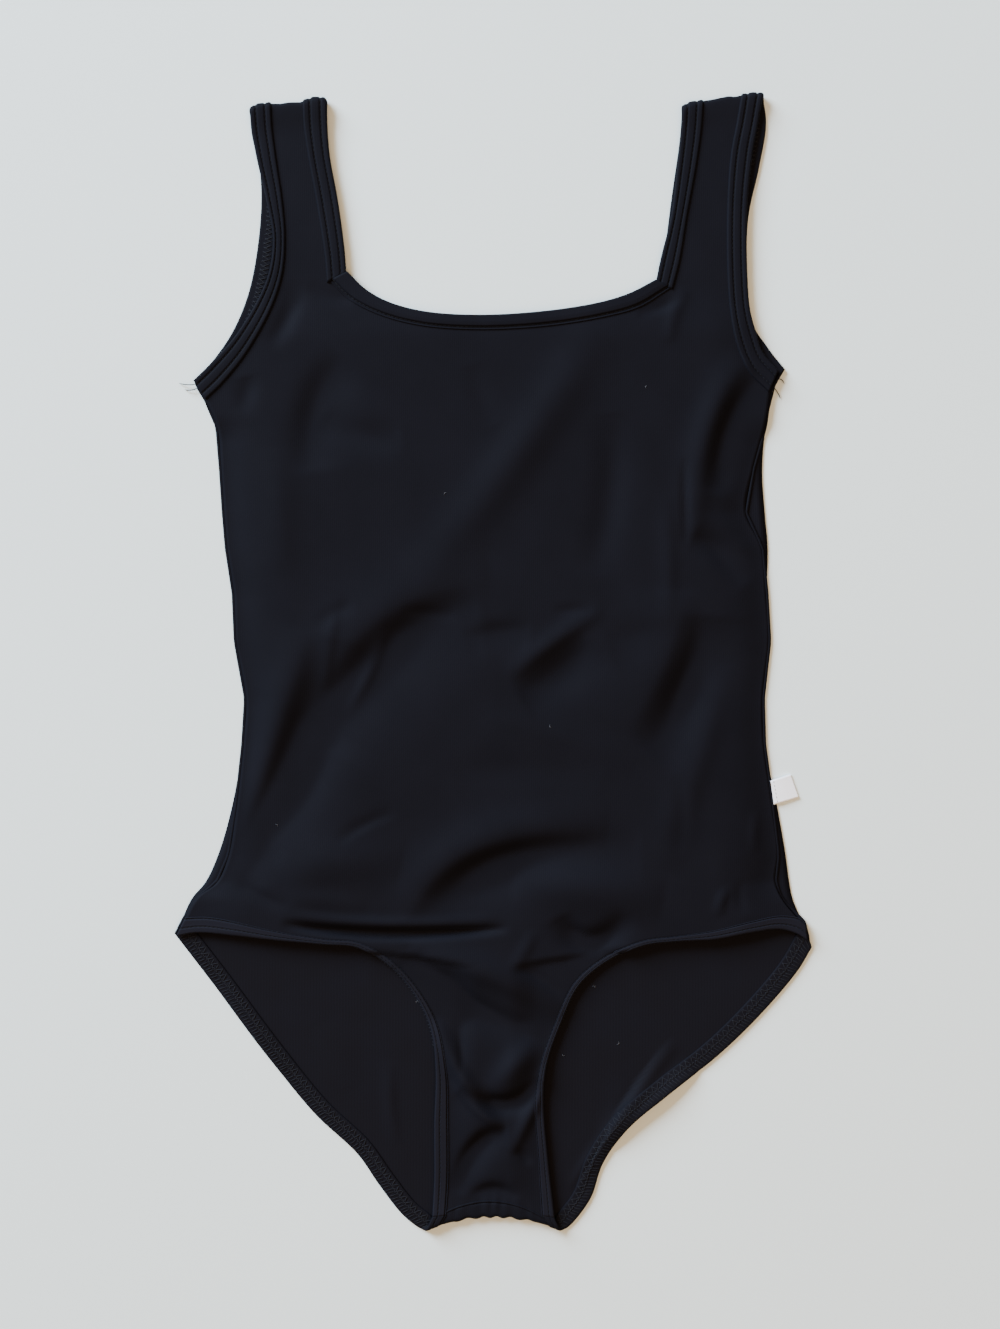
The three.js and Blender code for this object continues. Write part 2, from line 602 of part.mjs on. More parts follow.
// Where a measure of the points of a line reaches a value, between two values of t
function reach(line, measure, value, low = 0, high = 1) {
  const rising = measure(line(high)) > measure(line(low));
  for (let i = 0; i < HALVINGS; i += 1) {
    const middle = (low + high) / 2;
    if (measure(line(middle)) < value === rising) low = middle;
    else high = middle;
  }
  return low;
}
const level = ([, y]) => y;
const pastShoulder = ([x, y]) => y - shoulderLine(x);
const pastCrotch = ([x, y]) => crotchLine(x) - y;

// Grid filling a patch between four rows of points: bottom and top run left to right, the sides up
function filled(bottom, top, left, right) {
  const columns = bottom.length - 1;
  const rows = left.length - 1;
  return left.map((_, j) => bottom.map((__, i) => {
    const u = i / columns;
    const v = j / rows;
    return [0, 1].map((k) => (1 - v) * bottom[i][k] + v * top[i][k]
      + (1 - u) * left[j][k] + u * right[j][k]
      - (1 - u) * (1 - v) * bottom[0][k] - u * (1 - v) * bottom[columns][k]
      - (1 - u) * v * top[0][k] - u * v * top[columns][k]);
  }));
}

// Side seam of a panel as a smooth line from hip to underarm
function sideLine(name, hip, underarm) {
  const inner = SIDES.slice(1, -1).reverse().map((row) => new THREE.Vector3(row[name], row.y, 0));
  const ends = [new THREE.Vector3(...hip, 0), ...inner, new THREE.Vector3(...underarm, 0)];
  const curve = new THREE.CatmullRomCurve3(ends, false, 'centripetal');
  return (t) => {
    const p = curve.getPoint(clamp01(t));
    return [p.x, p.y];
  };
}

// Sections of the strips on the flat cloth, carried on past the folds
const turnedBack = (rows) => rows.map(({ edge, seam }) => (
  { edge: acrossShoulder(edge), seam: acrossShoulder(seam) }));

// A back casing goes round the crotch fold and ends on the front, against the front casing's end
function turnedCasing(back, front) {
  const first = back[back.length - 1];
  const last = front[front.length - 1];
  const middle = (a, b) => {
    const x = mix(a[0], b[0], 0.5);
    return [x, crotchLine(x) - TURN / 2];
  };
  const below = ([x, y]) => acrossCrotch([x, y - SEAM_GAP]);
  return [
    ...back,
    { edge: middle(first.edge, last.edge), seam: middle(first.seam, last.seam) },
    { edge: below(last.edge), seam: below(last.seam) },
  ];
}

const trims = {
  neckline: new Trim(NECKLINE),
  neck: new Trim([...STRAP_NECK_LEFT, ...turnedBack(BACK_NECK), ...STRAP_NECK_RIGHT]),
  armLeft: new Trim([...ARMHOLE_FRONT_LEFT, ...turnedBack(ARMHOLE_BACK_LEFT)]),
  armRight: new Trim([...ARMHOLE_FRONT_RIGHT, ...turnedBack(ARMHOLE_BACK_RIGHT)]),
  legFrontLeft: new Trim(LEG_FRONT_LEFT),
  legFrontRight: new Trim(LEG_FRONT_RIGHT),
  legBackLeft: new Trim(turnedCasing(LEG_BACK_LEFT, LEG_FRONT_LEFT)),
  legBackRight: new Trim(turnedCasing(LEG_BACK_RIGHT, LEG_FRONT_RIGHT)),
};

// Stretch of a strip on a strap, from a station on the front to the shoulder seam
function shoulderStations(trim, start, end) {
  const fold = reach(trim.panel, pastShoulder, 0, start, end);
  const turn = Array.from({ length: TURN_STEPS }, (_, k) => (TURN * (k + 1)) / TURN_STEPS);
  return [
    ...stationsOf(trim.panel, start, fold, FRONT_STEPS.strap).slice(1),
    ...[...turn, PAST_SHOULDER].map((past) => reach(trim.panel, pastShoulder, past, start, end)),
  ];
}

// Front panel: torso, crotch and two straps that reach just over the shoulder fold
function frontBlocks() {
  const { neckline, neck, armLeft, armRight, legFrontLeft, legFrontRight } = trims;
  const cornerLeft = [neck.panel(0)[0], neckline.panel(0)[1]];
  const cornerRight = [neck.panel(1)[0], neckline.panel(1)[1]];
  const baseLeft = reach(armLeft.panel, level, cornerLeft[1], 0, SEARCH.armFront);
  const baseRight = reach(armRight.panel, level, cornerRight[1], 0, SEARCH.armFront);

  const sideAndArm = (name, leg, arm, base) => [
    ...evenly(sideLine(name, leg.panel(0), arm.panel(0)), FRONT_STEPS.side).slice(0, -1),
    ...arm.meet(stationsOf(arm.panel, 0, base, FRONT_STEPS.arm)),
  ];
  const left = sideAndArm('frontLeft', legFrontLeft, armLeft, baseLeft);
  const right = sideAndArm('frontRight', legFrontRight, armRight, baseRight);

  const strapBaseLeft = evenly(straight(armLeft.panel(baseLeft), cornerLeft), FRONT_STEPS.strapWidth);
  const strapBaseRight = evenly(straight(cornerRight, armRight.panel(baseRight)), FRONT_STEPS.strapWidth);
  const neckRow = neckline.meet(stationsOf(neckline.panel, 0, 1, FRONT_NECK_STEPS));
  const top = [...strapBaseLeft, ...neckRow, ...strapBaseRight];

  const splitLeft = reach(legFrontLeft.panel, level, CROTCH_TOP);
  const splitRight = reach(legFrontRight.panel, level, CROTCH_TOP);
  const hipLeft = legFrontLeft.meet(stationsOf(legFrontLeft.panel, 0, splitLeft, FRONT_STEPS.leg));
  const hipRight = legFrontRight.meet(stationsOf(legFrontRight.panel, splitRight, 0, FRONT_STEPS.leg));
  const across = evenly(straight(hipLeft[FRONT_STEPS.leg], hipRight[0]), FRONT_STEPS.crotchWidth);
  const bottom = [...hipLeft.slice(0, -1), ...across, ...hipRight.slice(1)];
  const torso = filled(bottom, top, left, right);

  const upCrotch = (leg, split) => leg.meet(stationsOf(leg.panel, 1, split, FRONT_STEPS.crotchSide));
  const crotchLeft = upCrotch(legFrontLeft, splitLeft);
  const crotchRight = upCrotch(legFrontRight, splitRight);
  const seamRow = seamPoints(crotchLeft[0], crotchRight[0], FRONT_STEPS.crotchWidth);
  const crotch = filled(seamRow, across, crotchLeft, crotchRight);

  const strapRows = (base, leftStations, rightStations, leftTrim, rightTrim) => {
    const rightPoints = rightTrim.meet(rightStations);
    const rows = leftTrim.meet(leftStations)
      .map((point, k) => evenly(straight(point, rightPoints[k]), FRONT_STEPS.strapWidth));
    return [base, ...rows];
  };
  const armUpLeft = shoulderStations(armLeft, baseLeft, SEARCH.armOver);
  const armUpRight = shoulderStations(armRight, baseRight, SEARCH.armOver);
  const neckUpLeft = shoulderStations(neck, 0, SEARCH.neckMiddle);
  const neckUpRight = shoulderStations(neck, 1, SEARCH.neckMiddle);
  return [
    torso,
    crotch,
    strapRows(strapBaseLeft, armUpLeft, neckUpLeft, armLeft, neck),
    strapRows(strapBaseRight, neckUpRight, armUpRight, neck, armRight),
  ];
}

// Points of the crotch seam between two given ends
function seamPoints(from, to, steps) {
  return evenly(straight(from, to), steps)
    .map(([x, y], i) => (i % steps === 0 ? [x, y] : [x, crotchSeam(x)]));
}

// Back panel: torso down to the crotch fold, the turn up to the crotch seam, and two straps
function backBlocks() {
  const { neck, armLeft, armRight, legBackLeft, legBackRight } = trims;
  const onBack = (trim) => (t) => acrossShoulder(trim.panel(t));
  const meetOnBack = (trim, stations) => trim.meet(stations).map(acrossShoulder);
  const armBase = (trim) => reach(onBack(trim), level, BACK_STRAP_BASE, 1, SEARCH.armBack);
  const strapEnd = PAST_SHOULDER + SEAM_GAP;

  const sideOf = (name, leg, arm) => {
    const foot = reach(leg.panel, pastCrotch, 0);
    return [
      ...leg.meet(stationsOf(leg.panel, foot, 0, BACK_STEPS.leg)).slice(0, -1),
      ...evenly(sideLine(name, leg.panel(0), onBack(arm)(1)), BACK_STEPS.side).slice(0, -1),
      ...meetOnBack(arm, stationsOf(arm.panel, 1, armBase(arm), BACK_STEPS.arm)),
    ];
  };
  const left = sideOf('backLeft', legBackLeft, armLeft);
  const right = sideOf('backRight', legBackRight, armRight);

  const neckLeft = reach(onBack(neck), level, BACK_STRAP_BASE, SEARCH.neckLeft, SEARCH.neckMiddle);
  const neckRight = reach(onBack(neck), level, BACK_STRAP_BASE, SEARCH.neckRight, SEARCH.neckMiddle);
  const neckRow = meetOnBack(neck, stationsOf(neck.panel, neckLeft, neckRight, BACK_STEPS.neck));
  const last = left.length - 1;
  const strapBaseLeft = evenly(straight(left[last], neckRow[0]), BACK_STEPS.strapWidth);
  const strapBaseRight = evenly(straight(neckRow[BACK_STEPS.neck], right[last]), BACK_STEPS.strapWidth);
  const top = [...strapBaseLeft.slice(0, -1), ...neckRow, ...strapBaseRight.slice(1)];
  const columns = top.length - 1;
  const foot = evenly(straight(left[0], right[0]), columns).map(([x]) => [x, crotchLine(x)]);
  const torso = filled(foot, top, left, right);

  const turns = Array.from({ length: TURN_STEPS }, (_, k) => (TURN * (k + 1)) / TURN_STEPS);
  const turnPoints = (leg) => leg.meet(turns.map((past) => reach(leg.panel, pastCrotch, past)));
  const turnRight = turnPoints(legBackRight);
  const turn = turnPoints(legBackLeft).map((point, k) => (
    evenly(straight(point, turnRight[k]), columns).map(([x]) => [x, crotchLine(x) - turns[k]])));
  const seamEnd = (leg) => acrossCrotch(leg.panel(1));
  const seamRow = seamPoints(seamEnd(legBackLeft), seamEnd(legBackRight), columns)
    .map(([x, y], i) => acrossCrotch([x, i % columns === 0 ? y : y - SEAM_GAP]));
  const gusset = [seamRow, ...turn.reverse(), foot];

  // Up a strap between two strips, each from its base station towards its end on the front
  const strapSide = (trim, from, towards) => {
    const end = reach(trim.panel, pastShoulder, strapEnd, from, towards);
    return meetOnBack(trim, stationsOf(trim.panel, from, end, BACK_STEPS.strap));
  };
  const strapRows = (base, leftSide, rightSide) => {
    const rows = leftSide.map((point, k) => evenly(straight(point, rightSide[k]), BACK_STEPS.strapWidth));
    return [base, ...rows.slice(1)];
  };
  return [
    gusset,
    torso,
    strapRows(strapBaseLeft, strapSide(armLeft, armBase(armLeft), 0), strapSide(neck, neckLeft, 0)),
    strapRows(strapBaseRight, strapSide(neck, neckRight, 1), strapSide(armRight, armBase(armRight), 0)),
  ];
}

// The folded ribbon label, a thin slab bowed over its length
function labelGeometry() {
  const points = [];
  const triangles = [];
  for (const { x, low, high, z } of LABEL) {
    const start = x + LABEL_SEAM_GAP;
    for (const [y, side] of [[low, -0.5], [high, -0.5], [high, 0.5], [low, 0.5]]) {
      points.push(new THREE.Vector3(start + (y - low) * LABEL_LEAN, y, z + side * LABEL_THICK));
    }
  }
  for (let i = 0; i < LABEL.length - 1; i += 1) {
    for (let k = 0; k < 4; k += 1) {
      const a = i * 4 + k;
      const b = i * 4 + ((k + 1) % 4);
      triangles.push([a, b, b + 4], [a, b + 4, a + 4]);
    }
  }
  const end = (LABEL.length - 1) * 4;
  triangles.push([0, 2, 1], [0, 3, 2], [end, end + 1, end + 2], [end, end + 2, end + 3]);
  const geometry = geometryOf(points, triangles);
  return volume(geometry) < 0 ? insideOut(geometry) : geometry;
}

const leotard = new THREE.Group();
function add(name, geometry, material) {
  const mesh = new THREE.Mesh(geometry, material.clone());
  mesh.name = name;
  leotard.add(mesh);
}

const binding = bindingProfile(BAND_THICK);
const neckHump = casingProfile(BAND_THICK);
const casing = casingProfile(CASING_THICK);
const frontSurface = overShoulder(PANEL);
const bandSurface = overShoulder(BAND);
const casingSurface = overShoulder(CASING);

// The panels come first, because they set the stations of the strips
add('front', clothWall(frontBlocks(), frontSurface), BLACK_KNIT);
add('back', clothWall(backBlocks(), roundCrotch(PANEL)), BLACK_KNIT);
add('neck_band_front', strip(trims.neckline, neckHump, bandSurface, 1), BLACK_BINDING);
add('neck_band_back', strip(trims.neck, binding, bandSurface, 1), BLACK_BINDING);
add('armhole_band_left', strip(trims.armLeft, binding, bandSurface, 1), BLACK_BINDING);
add('armhole_band_right', strip(trims.armRight, binding, bandSurface, 1), BLACK_BINDING);
add('leg_casing_front_left', strip(trims.legFrontLeft, casing, casingSurface, 1), BLACK_CASING);
add('leg_casing_front_right', strip(trims.legFrontRight, casing, casingSurface, 1), BLACK_CASING);
add('leg_casing_back_left', strip(trims.legBackLeft, casing, roundCrotch(CASING), -1), BLACK_CASING);
add('leg_casing_back_right', strip(trims.legBackRight, casing, roundCrotch(CASING), -1), BLACK_CASING);
add('side_label', labelGeometry(), WHITE_RIBBON);

export default leotard;
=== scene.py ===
"""A black scoop-neck leotard laid flat on its back on a pale table, seen from straight above.

Pieces are drawn in millimetres on flat cloth, where y runs on past a fold line, and are turned over
the shoulder or round the crotch fold from there. Blender gets them in metres, in the frame's axes:
X to the right, Y towards the shoulders, Z up off the table.
"""

import math

import bpy
import numpy as np
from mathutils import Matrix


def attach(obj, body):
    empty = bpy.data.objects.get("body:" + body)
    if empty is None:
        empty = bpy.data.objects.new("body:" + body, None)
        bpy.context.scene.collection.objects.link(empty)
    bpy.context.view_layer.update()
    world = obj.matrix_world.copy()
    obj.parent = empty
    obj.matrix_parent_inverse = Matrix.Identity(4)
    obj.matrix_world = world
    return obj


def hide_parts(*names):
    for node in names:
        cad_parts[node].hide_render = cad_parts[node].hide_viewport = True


bl_info = {
    "name": "Leotard laid flat",
    "version": (1, 0, 0),
    "blender": (4, 5, 0),
    "location": "3D View > Sidebar > Leotard",
    "description": "Builds a leotard of stretch jersey with its bindings, casings and stitches",
    "category": "Object",
}

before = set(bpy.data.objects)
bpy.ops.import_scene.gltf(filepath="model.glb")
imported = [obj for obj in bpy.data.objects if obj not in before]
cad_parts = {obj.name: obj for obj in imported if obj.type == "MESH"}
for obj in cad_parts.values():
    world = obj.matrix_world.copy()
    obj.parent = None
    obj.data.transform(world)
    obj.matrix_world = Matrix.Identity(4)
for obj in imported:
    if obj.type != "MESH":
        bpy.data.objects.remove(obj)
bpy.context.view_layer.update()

MM = 0.001

# Levels of the cloth's middle surface, and how the front billows between its edges
CLOTH = 1.0
BAND_THICK = 2.2
CASING_THICK = 2.0
FRONT_LEVEL = 3.35
SIDE_LEVEL = 1.35
PUFF = 2.1
PUFF_REACH = 34
LOWEST_FRONT = 3.0
LOWEST_INSIDE = 2.1
CLAMP_SOFTNESS = 0.5
SIDE_ROLL = 10
BAND_RISE = 0.4
CROTCH_HALF = 25

# Straight lengths that stand for a fold's bent line, how it fades to its ends, and how many of its
# widths away it is still worked out
FOLD_STRAIGHTS = 16
END_TAPER = 0.8
FOLD_REACH = 3.2

# Where the billow and the side roll fade in or out: at a level, over a height
FADE = {
    "torso": (-165, 20),
    "crotch": (-300, 24),
    "neckline": (206, -30),
    "underarm": (136, -16),
    "hip": (-131, 14),
}

# Length of cloth that turns over a shoulder or the crotch fold, and how it puffs up there
TURN = 6
TURN_PUFF = 1.1
TURN_PUFF_REACH = 9

# The shoulder folds by points, and the crotch's fold and seam by their level, their fall at the
# half width, and that half width
SHOULDER = ((-132, 299.9), (-92, 304.9), (104, 302), (147, 307.4))
FOLD_Y, FOLD_DROP, FOLD_HALF = -298.6, 7.5, 38
SEAM_Y, SEAM_DROP, SEAM_HALF, SEAM_TOP_X = -291.8, 6.4, 25, -2
# Waves that the elastic draws into the crotch fold and puckers along its seam: height and length,
# how far and over what length they are out of step, and how they end at the sides
FOLD_WAVE, FOLD_WAVE_MM, FOLD_WAVE_STRAY, FOLD_WAVE_FADE = 0.5, 8.6, (1.6, 6), 6
PUCKER, PUCKER_MM, PUCKER_STRAY, PUCKER_FADE = 0.16, 6.2, (1.2, 4.5), 5
PUCKER_BELOW, PUCKER_REACH = 2, 4

# How far the strap ends fall below their fold lines: rounded corners, proud bands, a sag between
STRAP_DIPS = (
    (-133, 4.2),
    (-131.4, 0.4),
    (-128.8, -1.1),
    (-122, -1),
    (-116, 0),
    (-111, -0.2),
    (-105, 0.6),
    (-98, -1),
    (-92.5, -0.1),
    (-90, 3.6),
    (101.4, 3.6),
    (103.4, 1.6),
    (106.4, 0),
    (113, -0.2),
    (118, -0.3),
    (128, -1.2),
    (131, -0.3),
    (136, -0.8),
    (141, -0.9),
    (145.6, -0.1),
    (147.6, 2.6),
    (148.6, 4.6),
)
DIP_REACH = 5.5

# Side seams from underarm to hip: y, front left, back left, front right, back right
SIDES = (
    (142, -156, -156.5, 149.6, 151.2),
    (129, -150.3, -150.5, 147.8, 148.4),
    (106, -148.4, -148.6, 141.5, 146.3),
    (82, -146.8, -147, 137.4, 147.7),
    (63, -145.2, -145.4, 146.2, 149.3),
    (38, -141.4, -141.6, 148.6, 148.9),
    (12, -140.3, -140.6, 150.1, 150.4),
    (-19, -134.7, -134.9, 146.6, 146.9),
    (-44, -136.2, -136.7, 147.3, 147.7),
    (-77, -139.8, -142.2, 151.8, 154.3),
    (-104, -144, -149.9, 155, 159),
    (-119, -150.4, -156.8, 153.4, 161),
    (-128, -161.8, -164.3, 156.6, 162.8),
    (-137, -166.6, -169.2, 165.2, 167.4),
)
SIDE_COLUMN = {"frontLeft": 1, "backLeft": 2, "frontRight": 3, "backRight": 4}

# The valley in which the neckline band is stitched down widens it by this much
NECKLINE_WIDER = 1.22

# Strips of trim, a row for each section: free edge x and y, seam x and y
NECKLINE = (
    (-79.4, 212.9, -89.2, 208),
    (-69.5, 203.4, -77.3, 199),
    (-57.5, 196.6, -61.3, 190.6),
    (-38, 191.2, -39, 184.7),
    (-8, 189.2, -8, 182.6),
    (30, 191.6, 30.5, 184.8),
    (58, 196.2, 60, 189.6),
    (74, 201.2, 78, 194.8),
    (88, 208.4, 96.2, 204),
)
STRAP_NECK_LEFT = (
    (-79.9, 212.2, -90.4, 206.8),
    (-80.9, 225, -91.7, 222),
    (-84.5, 251.5, -96.3, 251.5),
    (-88.9, 276, -100.9, 277),
    (-90.2, 294, -103.2, 294),
)
BACK_NECK = (
    (-90.4, 292, -103.2, 292),
    (-88, 254, -99.6, 253),
    (-84.6, 216, -95.8, 214),
    (-81, 190, -91.8, 186.5),
    (-70, 160, -79.2, 153.4),
    (-44, 138, -48.6, 127.4),
    (3, 130, 3, 118.8),
    (50, 138, 54.6, 127.4),
    (77, 161, 86.2, 154.4),
    (88, 190, 98.8, 186.5),
    (92, 216, 103.4, 215),
    (97, 254, 108.8, 254),
    (102, 292, 114, 292),
)
STRAP_NECK_RIGHT = (
    (102, 293, 113.4, 294),
    (99.6, 268, 110.4, 271),
    (96.2, 242, 105.4, 243.4),
    (90.7, 219.5, 101.4, 219),
    (88.3, 207.6, 97.4, 203.2),
)
ARMHOLE_FRONT_LEFT = (
    (-163, 153.8, -156.2, 143.4),
    (-154.6, 162, -146.8, 152.4),
    (-141.4, 176.4, -133.2, 169.4),
    (-129.8, 194.3, -120.6, 192.4),
    (-122.2, 212, -114.4, 212),
    (-119.9, 231, -113, 231.5),
    (-123.6, 252.1, -114.5, 251),
    (-129.4, 278, -118.3, 277),
    (-131.8, 294, -120.3, 294),
)
ARMHOLE_BACK_LEFT = (
    (-132, 291, -120.3, 291),
    (-127, 266, -115.4, 265),
    (-127, 240, -115.2, 239),
    (-132.5, 204.8, -121, 201.6),
    (-141, 182.6, -130.8, 176.4),
    (-151.4, 166.6, -142.4, 158.6),
    (-162.8, 154, -156.6, 142.6),
)
ARMHOLE_FRONT_RIGHT = (
    (154.8, 159, 149.8, 147.2),
    (146.2, 169.4, 138.6, 158.4),
    (142.4, 180.6, 132.6, 171.2),
    (139.4, 192, 129, 187.4),
    (137.9, 212, 127.1, 211),
    (137.8, 247, 126.9, 247),
    (141, 278, 128.8, 276),
    (144.4, 297, 132.6, 297),
)
ARMHOLE_BACK_RIGHT = (
    (148.4, 294, 136.2, 294),
    (144.6, 270, 132.6, 270),
    (138.8, 243, 126.9, 243),
    (138.2, 210, 126.2, 208),
    (141.6, 184, 130.4, 178.6),
    (150, 171, 141, 162.4),
    (158.6, 160.2, 151.6, 148.4),
)
LEG_FRONT_LEFT = (
    (-172.4, -148, -167.4, -137.8),
    (-161, -146.2, -155.4, -137.6),
    (-143.1, -147.4, -142.6, -139.5),
    (-119.1, -150, -118.9, -144.9),
    (-92, -152.5, -92, -149.4),
    (-74, -154.2, -72.4, -151.4),
    (-56.5, -164.4, -54, -162.4),
    (-42.4, -180.6, -39.2, -179.2),
    (-34, -199, -29.6, -198),
    (-31.4, -222, -25.2, -222),
    (-32.2, -250, -24.4, -250),
    (-32.2, -280, -24.4, -280),
    (-33.2, -300.4, -25.6, -299.6),
)
LEG_FRONT_RIGHT = (
    (170.8, -150.6, 169.4, -140.8),
    (164.8, -146.9, 166, -138.2),
    (155.4, -144.4, 155.6, -136.9),
    (140.9, -145.8, 140.2, -139.7),
    (120, -149.6, 119, -144.8),
    (98.9, -150.9, 98.6, -147.8),
    (82, -153, 81, -150.2),
    (62, -161.8, 60.4, -159.4),
    (46.6, -175, 44, -173),
    (36.6, -196, 33.4, -195),
    (28.6, -219.9, 25, -219.6),
    (27.4, -240, 22.4, -240),
    (29.6, -268, 24.2, -268),
    (33.2, -300.8, 26, -299.8),
)
LEG_BACK_LEFT = (
    (-173.7, -147, -168.6, -138),
    (-166.6, -156.2, -158.8, -149.8),
    (-149.1, -179, -141, -173),
    (-122.4, -214.5, -114.6, -208.4),
    (-97.4, -245, -90.4, -238.2),
    (-74, -267.1, -67.8, -259.6),
    (-62.6, -283.4, -54.4, -278.2),
    (-50, -299.6, -42.4, -293.4),
    (-41.6, -306.6, -34, -300.4),
)
LEG_BACK_RIGHT = (
    (173.3, -154.6, 168.4, -140),
    (165.4, -167.6, 157.2, -161),
    (143, -193.6, 135.6, -186.8),
    (119, -216.2, 112.6, -208.8),
    (95, -234.2, 89, -226.4),
    (73.4, -252.4, 66, -245.4),
    (59.6, -272.2, 50.8, -267.8),
    (52.8, -291.4, 43.4, -288),
    (41, -306.6, 34.4, -300),
)

# Folds of the front: from, via, to, width to the left and right of that way, lift
FRONT_FOLDS = (
    ((-102, 18), (-119, -45), (-146, -112), 8, 14, 2.8),
    ((-88, 14), (-102, -52), (-148, -128), 20, 11, -4.6),
    ((-58, 18), (-66, -8), (-82, -28), 4, 5, 2.2),
    ((-2, 46), (-74, 40), (-106, -32), 10, 20, 2.7),
    ((-8, 30), (-62, 24), (-94, -46), 24, 11, -4.3),
    ((-84, -34), (-100, -60), (-120, -94), 12, 6, -1.8),
    ((60, 30), (28, 10), (8, -8), 4, 6, 1.7),
    ((54, 12), (36, -6), (14, -18), 14, 8, -3.6),
    ((102, 40), (98, 2), (70, -38), 9, 20, 2.5),
    ((114, 26), (112, -14), (84, -50), 20, 10, -4.3),
    ((62, 10), (84, 18), (104, 12), 9, 18, -1.3),
    ((126, 0), (112, -50), (92, -112), 8, 11, 1.8),
    ((-50, -142), (-26, -84), (62, -92), 14, 7, 3.6),
    ((-30, -134), (-8, -98), (80, -99), 10, 17, -4.6),
    ((-116, -116), (-84, -102), (-50, -110), 12, 12, 2.4),
    ((-114, -141), (-64, -150.5), (8, -143.6), 2.2, 2.4, -7.5),
    ((-112, -136), (-60, -145), (2, -138.6), 3, 3, 1.8),
    ((10, -118), (46, -120), (92, -128), 12, 12, 3),
    ((36, -137), (50, -166), (74, -136), 6, 8, -4.8),
    ((-46, -158), (-8, -160), (38, -190), 9, 7, 3.8),
    ((-46, -158), (-32, -182), (31, -204), 6, 11, -5.2),
    ((0, -234), (12, -216), (26, -204), 7, 8, 3.6),
    ((-18, -230), (6, -250), (27, -226), 4, 6, -5),
    ((-31, -192), (-20, -228), (4, -254), 5, 4, 4),
    ((8, -254), (-14, -254), (-19, -288), 9, 4, -4.6),
    ((138, 166), (112, 140), (109, 68), 6, 9, 2.8),
    ((150, 152), (124, 132), (122, 92), 8, 8, -4.4),
    ((108, 70), (124, 64), (138, 44), 7, 7, -3),
    ((58, 184), (22, 118), (-42, 44), 12, 12, 2.7),
    ((-80, 166), (-104, 142), (-98, 104), 16, 9, -3),
    ((-92, 134), (-70, 120), (-50, 122), 8, 8, -1.6),
    ((64, 136), (68, 92), (54, 48), 9, 9, -1.9),
    ((-106, 208), (-110, 186), (-122, 172), 5, 5, -1.6),
)

# Creases and wrinkles of the front, in the same order of values
FRONT_CREASES = (
    ((-50, 28), (-35, 29), (-20, 25), 3, 3, -0.8),
    ((-95, 20), (-86, 30), (-75, 32), 4, 4, -0.8),
    ((-16, 12), (2, 20), (20, 17), 5, 10, -1.6),
    ((33, 28), (44, 30), (54, 28), 3, 3, -0.8),
    ((-53, -81), (-70, -86), (-85, -98), 2, 4, -0.9),
    ((-84, 36), (-90, 8), (-92, -14), 3, 6, 0.9),
    ((40, -141), (52, -148), (58, -158), 2, 3, -1),
    ((66, -146), (60, -152), (54, -157), 2, 2, -0.8),
    ((127, -122), (122, -129), (123, -137), 1.6, 2.4, 1.3),
    ((134, -118), (132, -128), (136, -136), 2.5, 2, -0.8),
    ((143, -80), (140, -92), (142, -103), 3, 2, 0.9),
    ((-100, 206), (-89, 198), (-76, 198), 3, 4, -1),
    ((78, 190), (92, 192), (102, 200), 4, 3, -1),
    ((105, 204), (96, 190), (96, 174), 3, 4, 0.9),
    ((-134, 156), (-132, 148), (-138, 136), 5, 5, -1.1),
    ((93, 92), (97, 56), (95, 22), 4, 5, 0.8),
    ((-12, 162), (-8, 146), (0, 130), 6, 6, -0.6),
    ((104, 112), (104, 88), (105, 62), 1.8, 2.4, -1.2),
    ((12, -166), (22, -166), (42, -184), 3, 2.5, -1.6),
    ((22, -145), (18, -156), (10, -167), 2.5, 3, 1),
    ((31, -214), (22, -244), (9, -266), 3, 4, 2.4),
    ((-22, -190), (-16, -206), (-18, -224), 3, 2, -1),
    ((-22, -226), (-16, -240), (6, -252), 2, 2.5, 1.4),
    ((12, -263), (16, -266), (20, -272), 2.5, 2.5, -1.2),
    ((-13, -291), (0, -279), (13, -291), 3, 5, -2.4),
    ((-112, -128), (-92, -126), (-70, -134), 5, 6, 1),
    ((-140, -118), (-128, -126), (-112, -133), 3, 4, -1.2),
    ((-118, 118), (-112, 84), (-118, 48), 9, 9, 0.7),
    ((-22, -60), (14, -52), (58, -64), 9, 9, -0.9),
    ((-6, -30), (34, -34), (76, -58), 8, 7, 0.8),
    ((100, -60), (106, -84), (98, -104), 4, 5, -0.8),
)

# Places where the back stands off the table or creases where it shows in the leg openings
BACK_FOLDS = (
    ((100, -204), (72, -240), (42, -286), 5, 3, 2.6),
    ((112, -222), (88, -240), (62, -262), 9, 9, 4.4),
    ((-150, -176), (-130, -202), (-112, -224), 6, 6, 1.4),
)
BACK_CREASES = (
    ((92, -203), (70, -240), (43, -288), 0.9, 2.2, -1.3),
    ((118, -190), (100, -208), (86, -226), 7, 7, -0.3),
    ((-56, -216), (-58, -240), (-52, -262), 3, 4, 0.7),
    ((-92, -196), (-84, -212), (-78, -232), 9, 9, 0.5),
)

# Share of a strip's width at which the panel's edge ends, tucked in under it
TUCK = 0.7


def hex_colour(code):
    """An sRGB colour written in hex, as linear red, green, blue and alpha."""
    parts = [int(code[i : i + 2], 16) / 255 for i in (1, 3, 5)]
    return tuple(p / 12.92 if p <= 0.04045 else ((p + 0.055) / 1.055) ** 2.4 for p in parts) + (1.0,)


def smooth(t):
    t = np.clip(t, 0, 1)
    return t * t * (3 - 2 * t)


def bell(distance, width):
    return np.exp(-((distance / width) ** 2))


def mix(a, b, t):
    return a + (b - a) * t


def unit(vectors):
    return vectors / np.linalg.norm(vectors, axis=-1, keepdims=True)


def constant(value):
    return lambda places: np.full(np.shape(places), value)


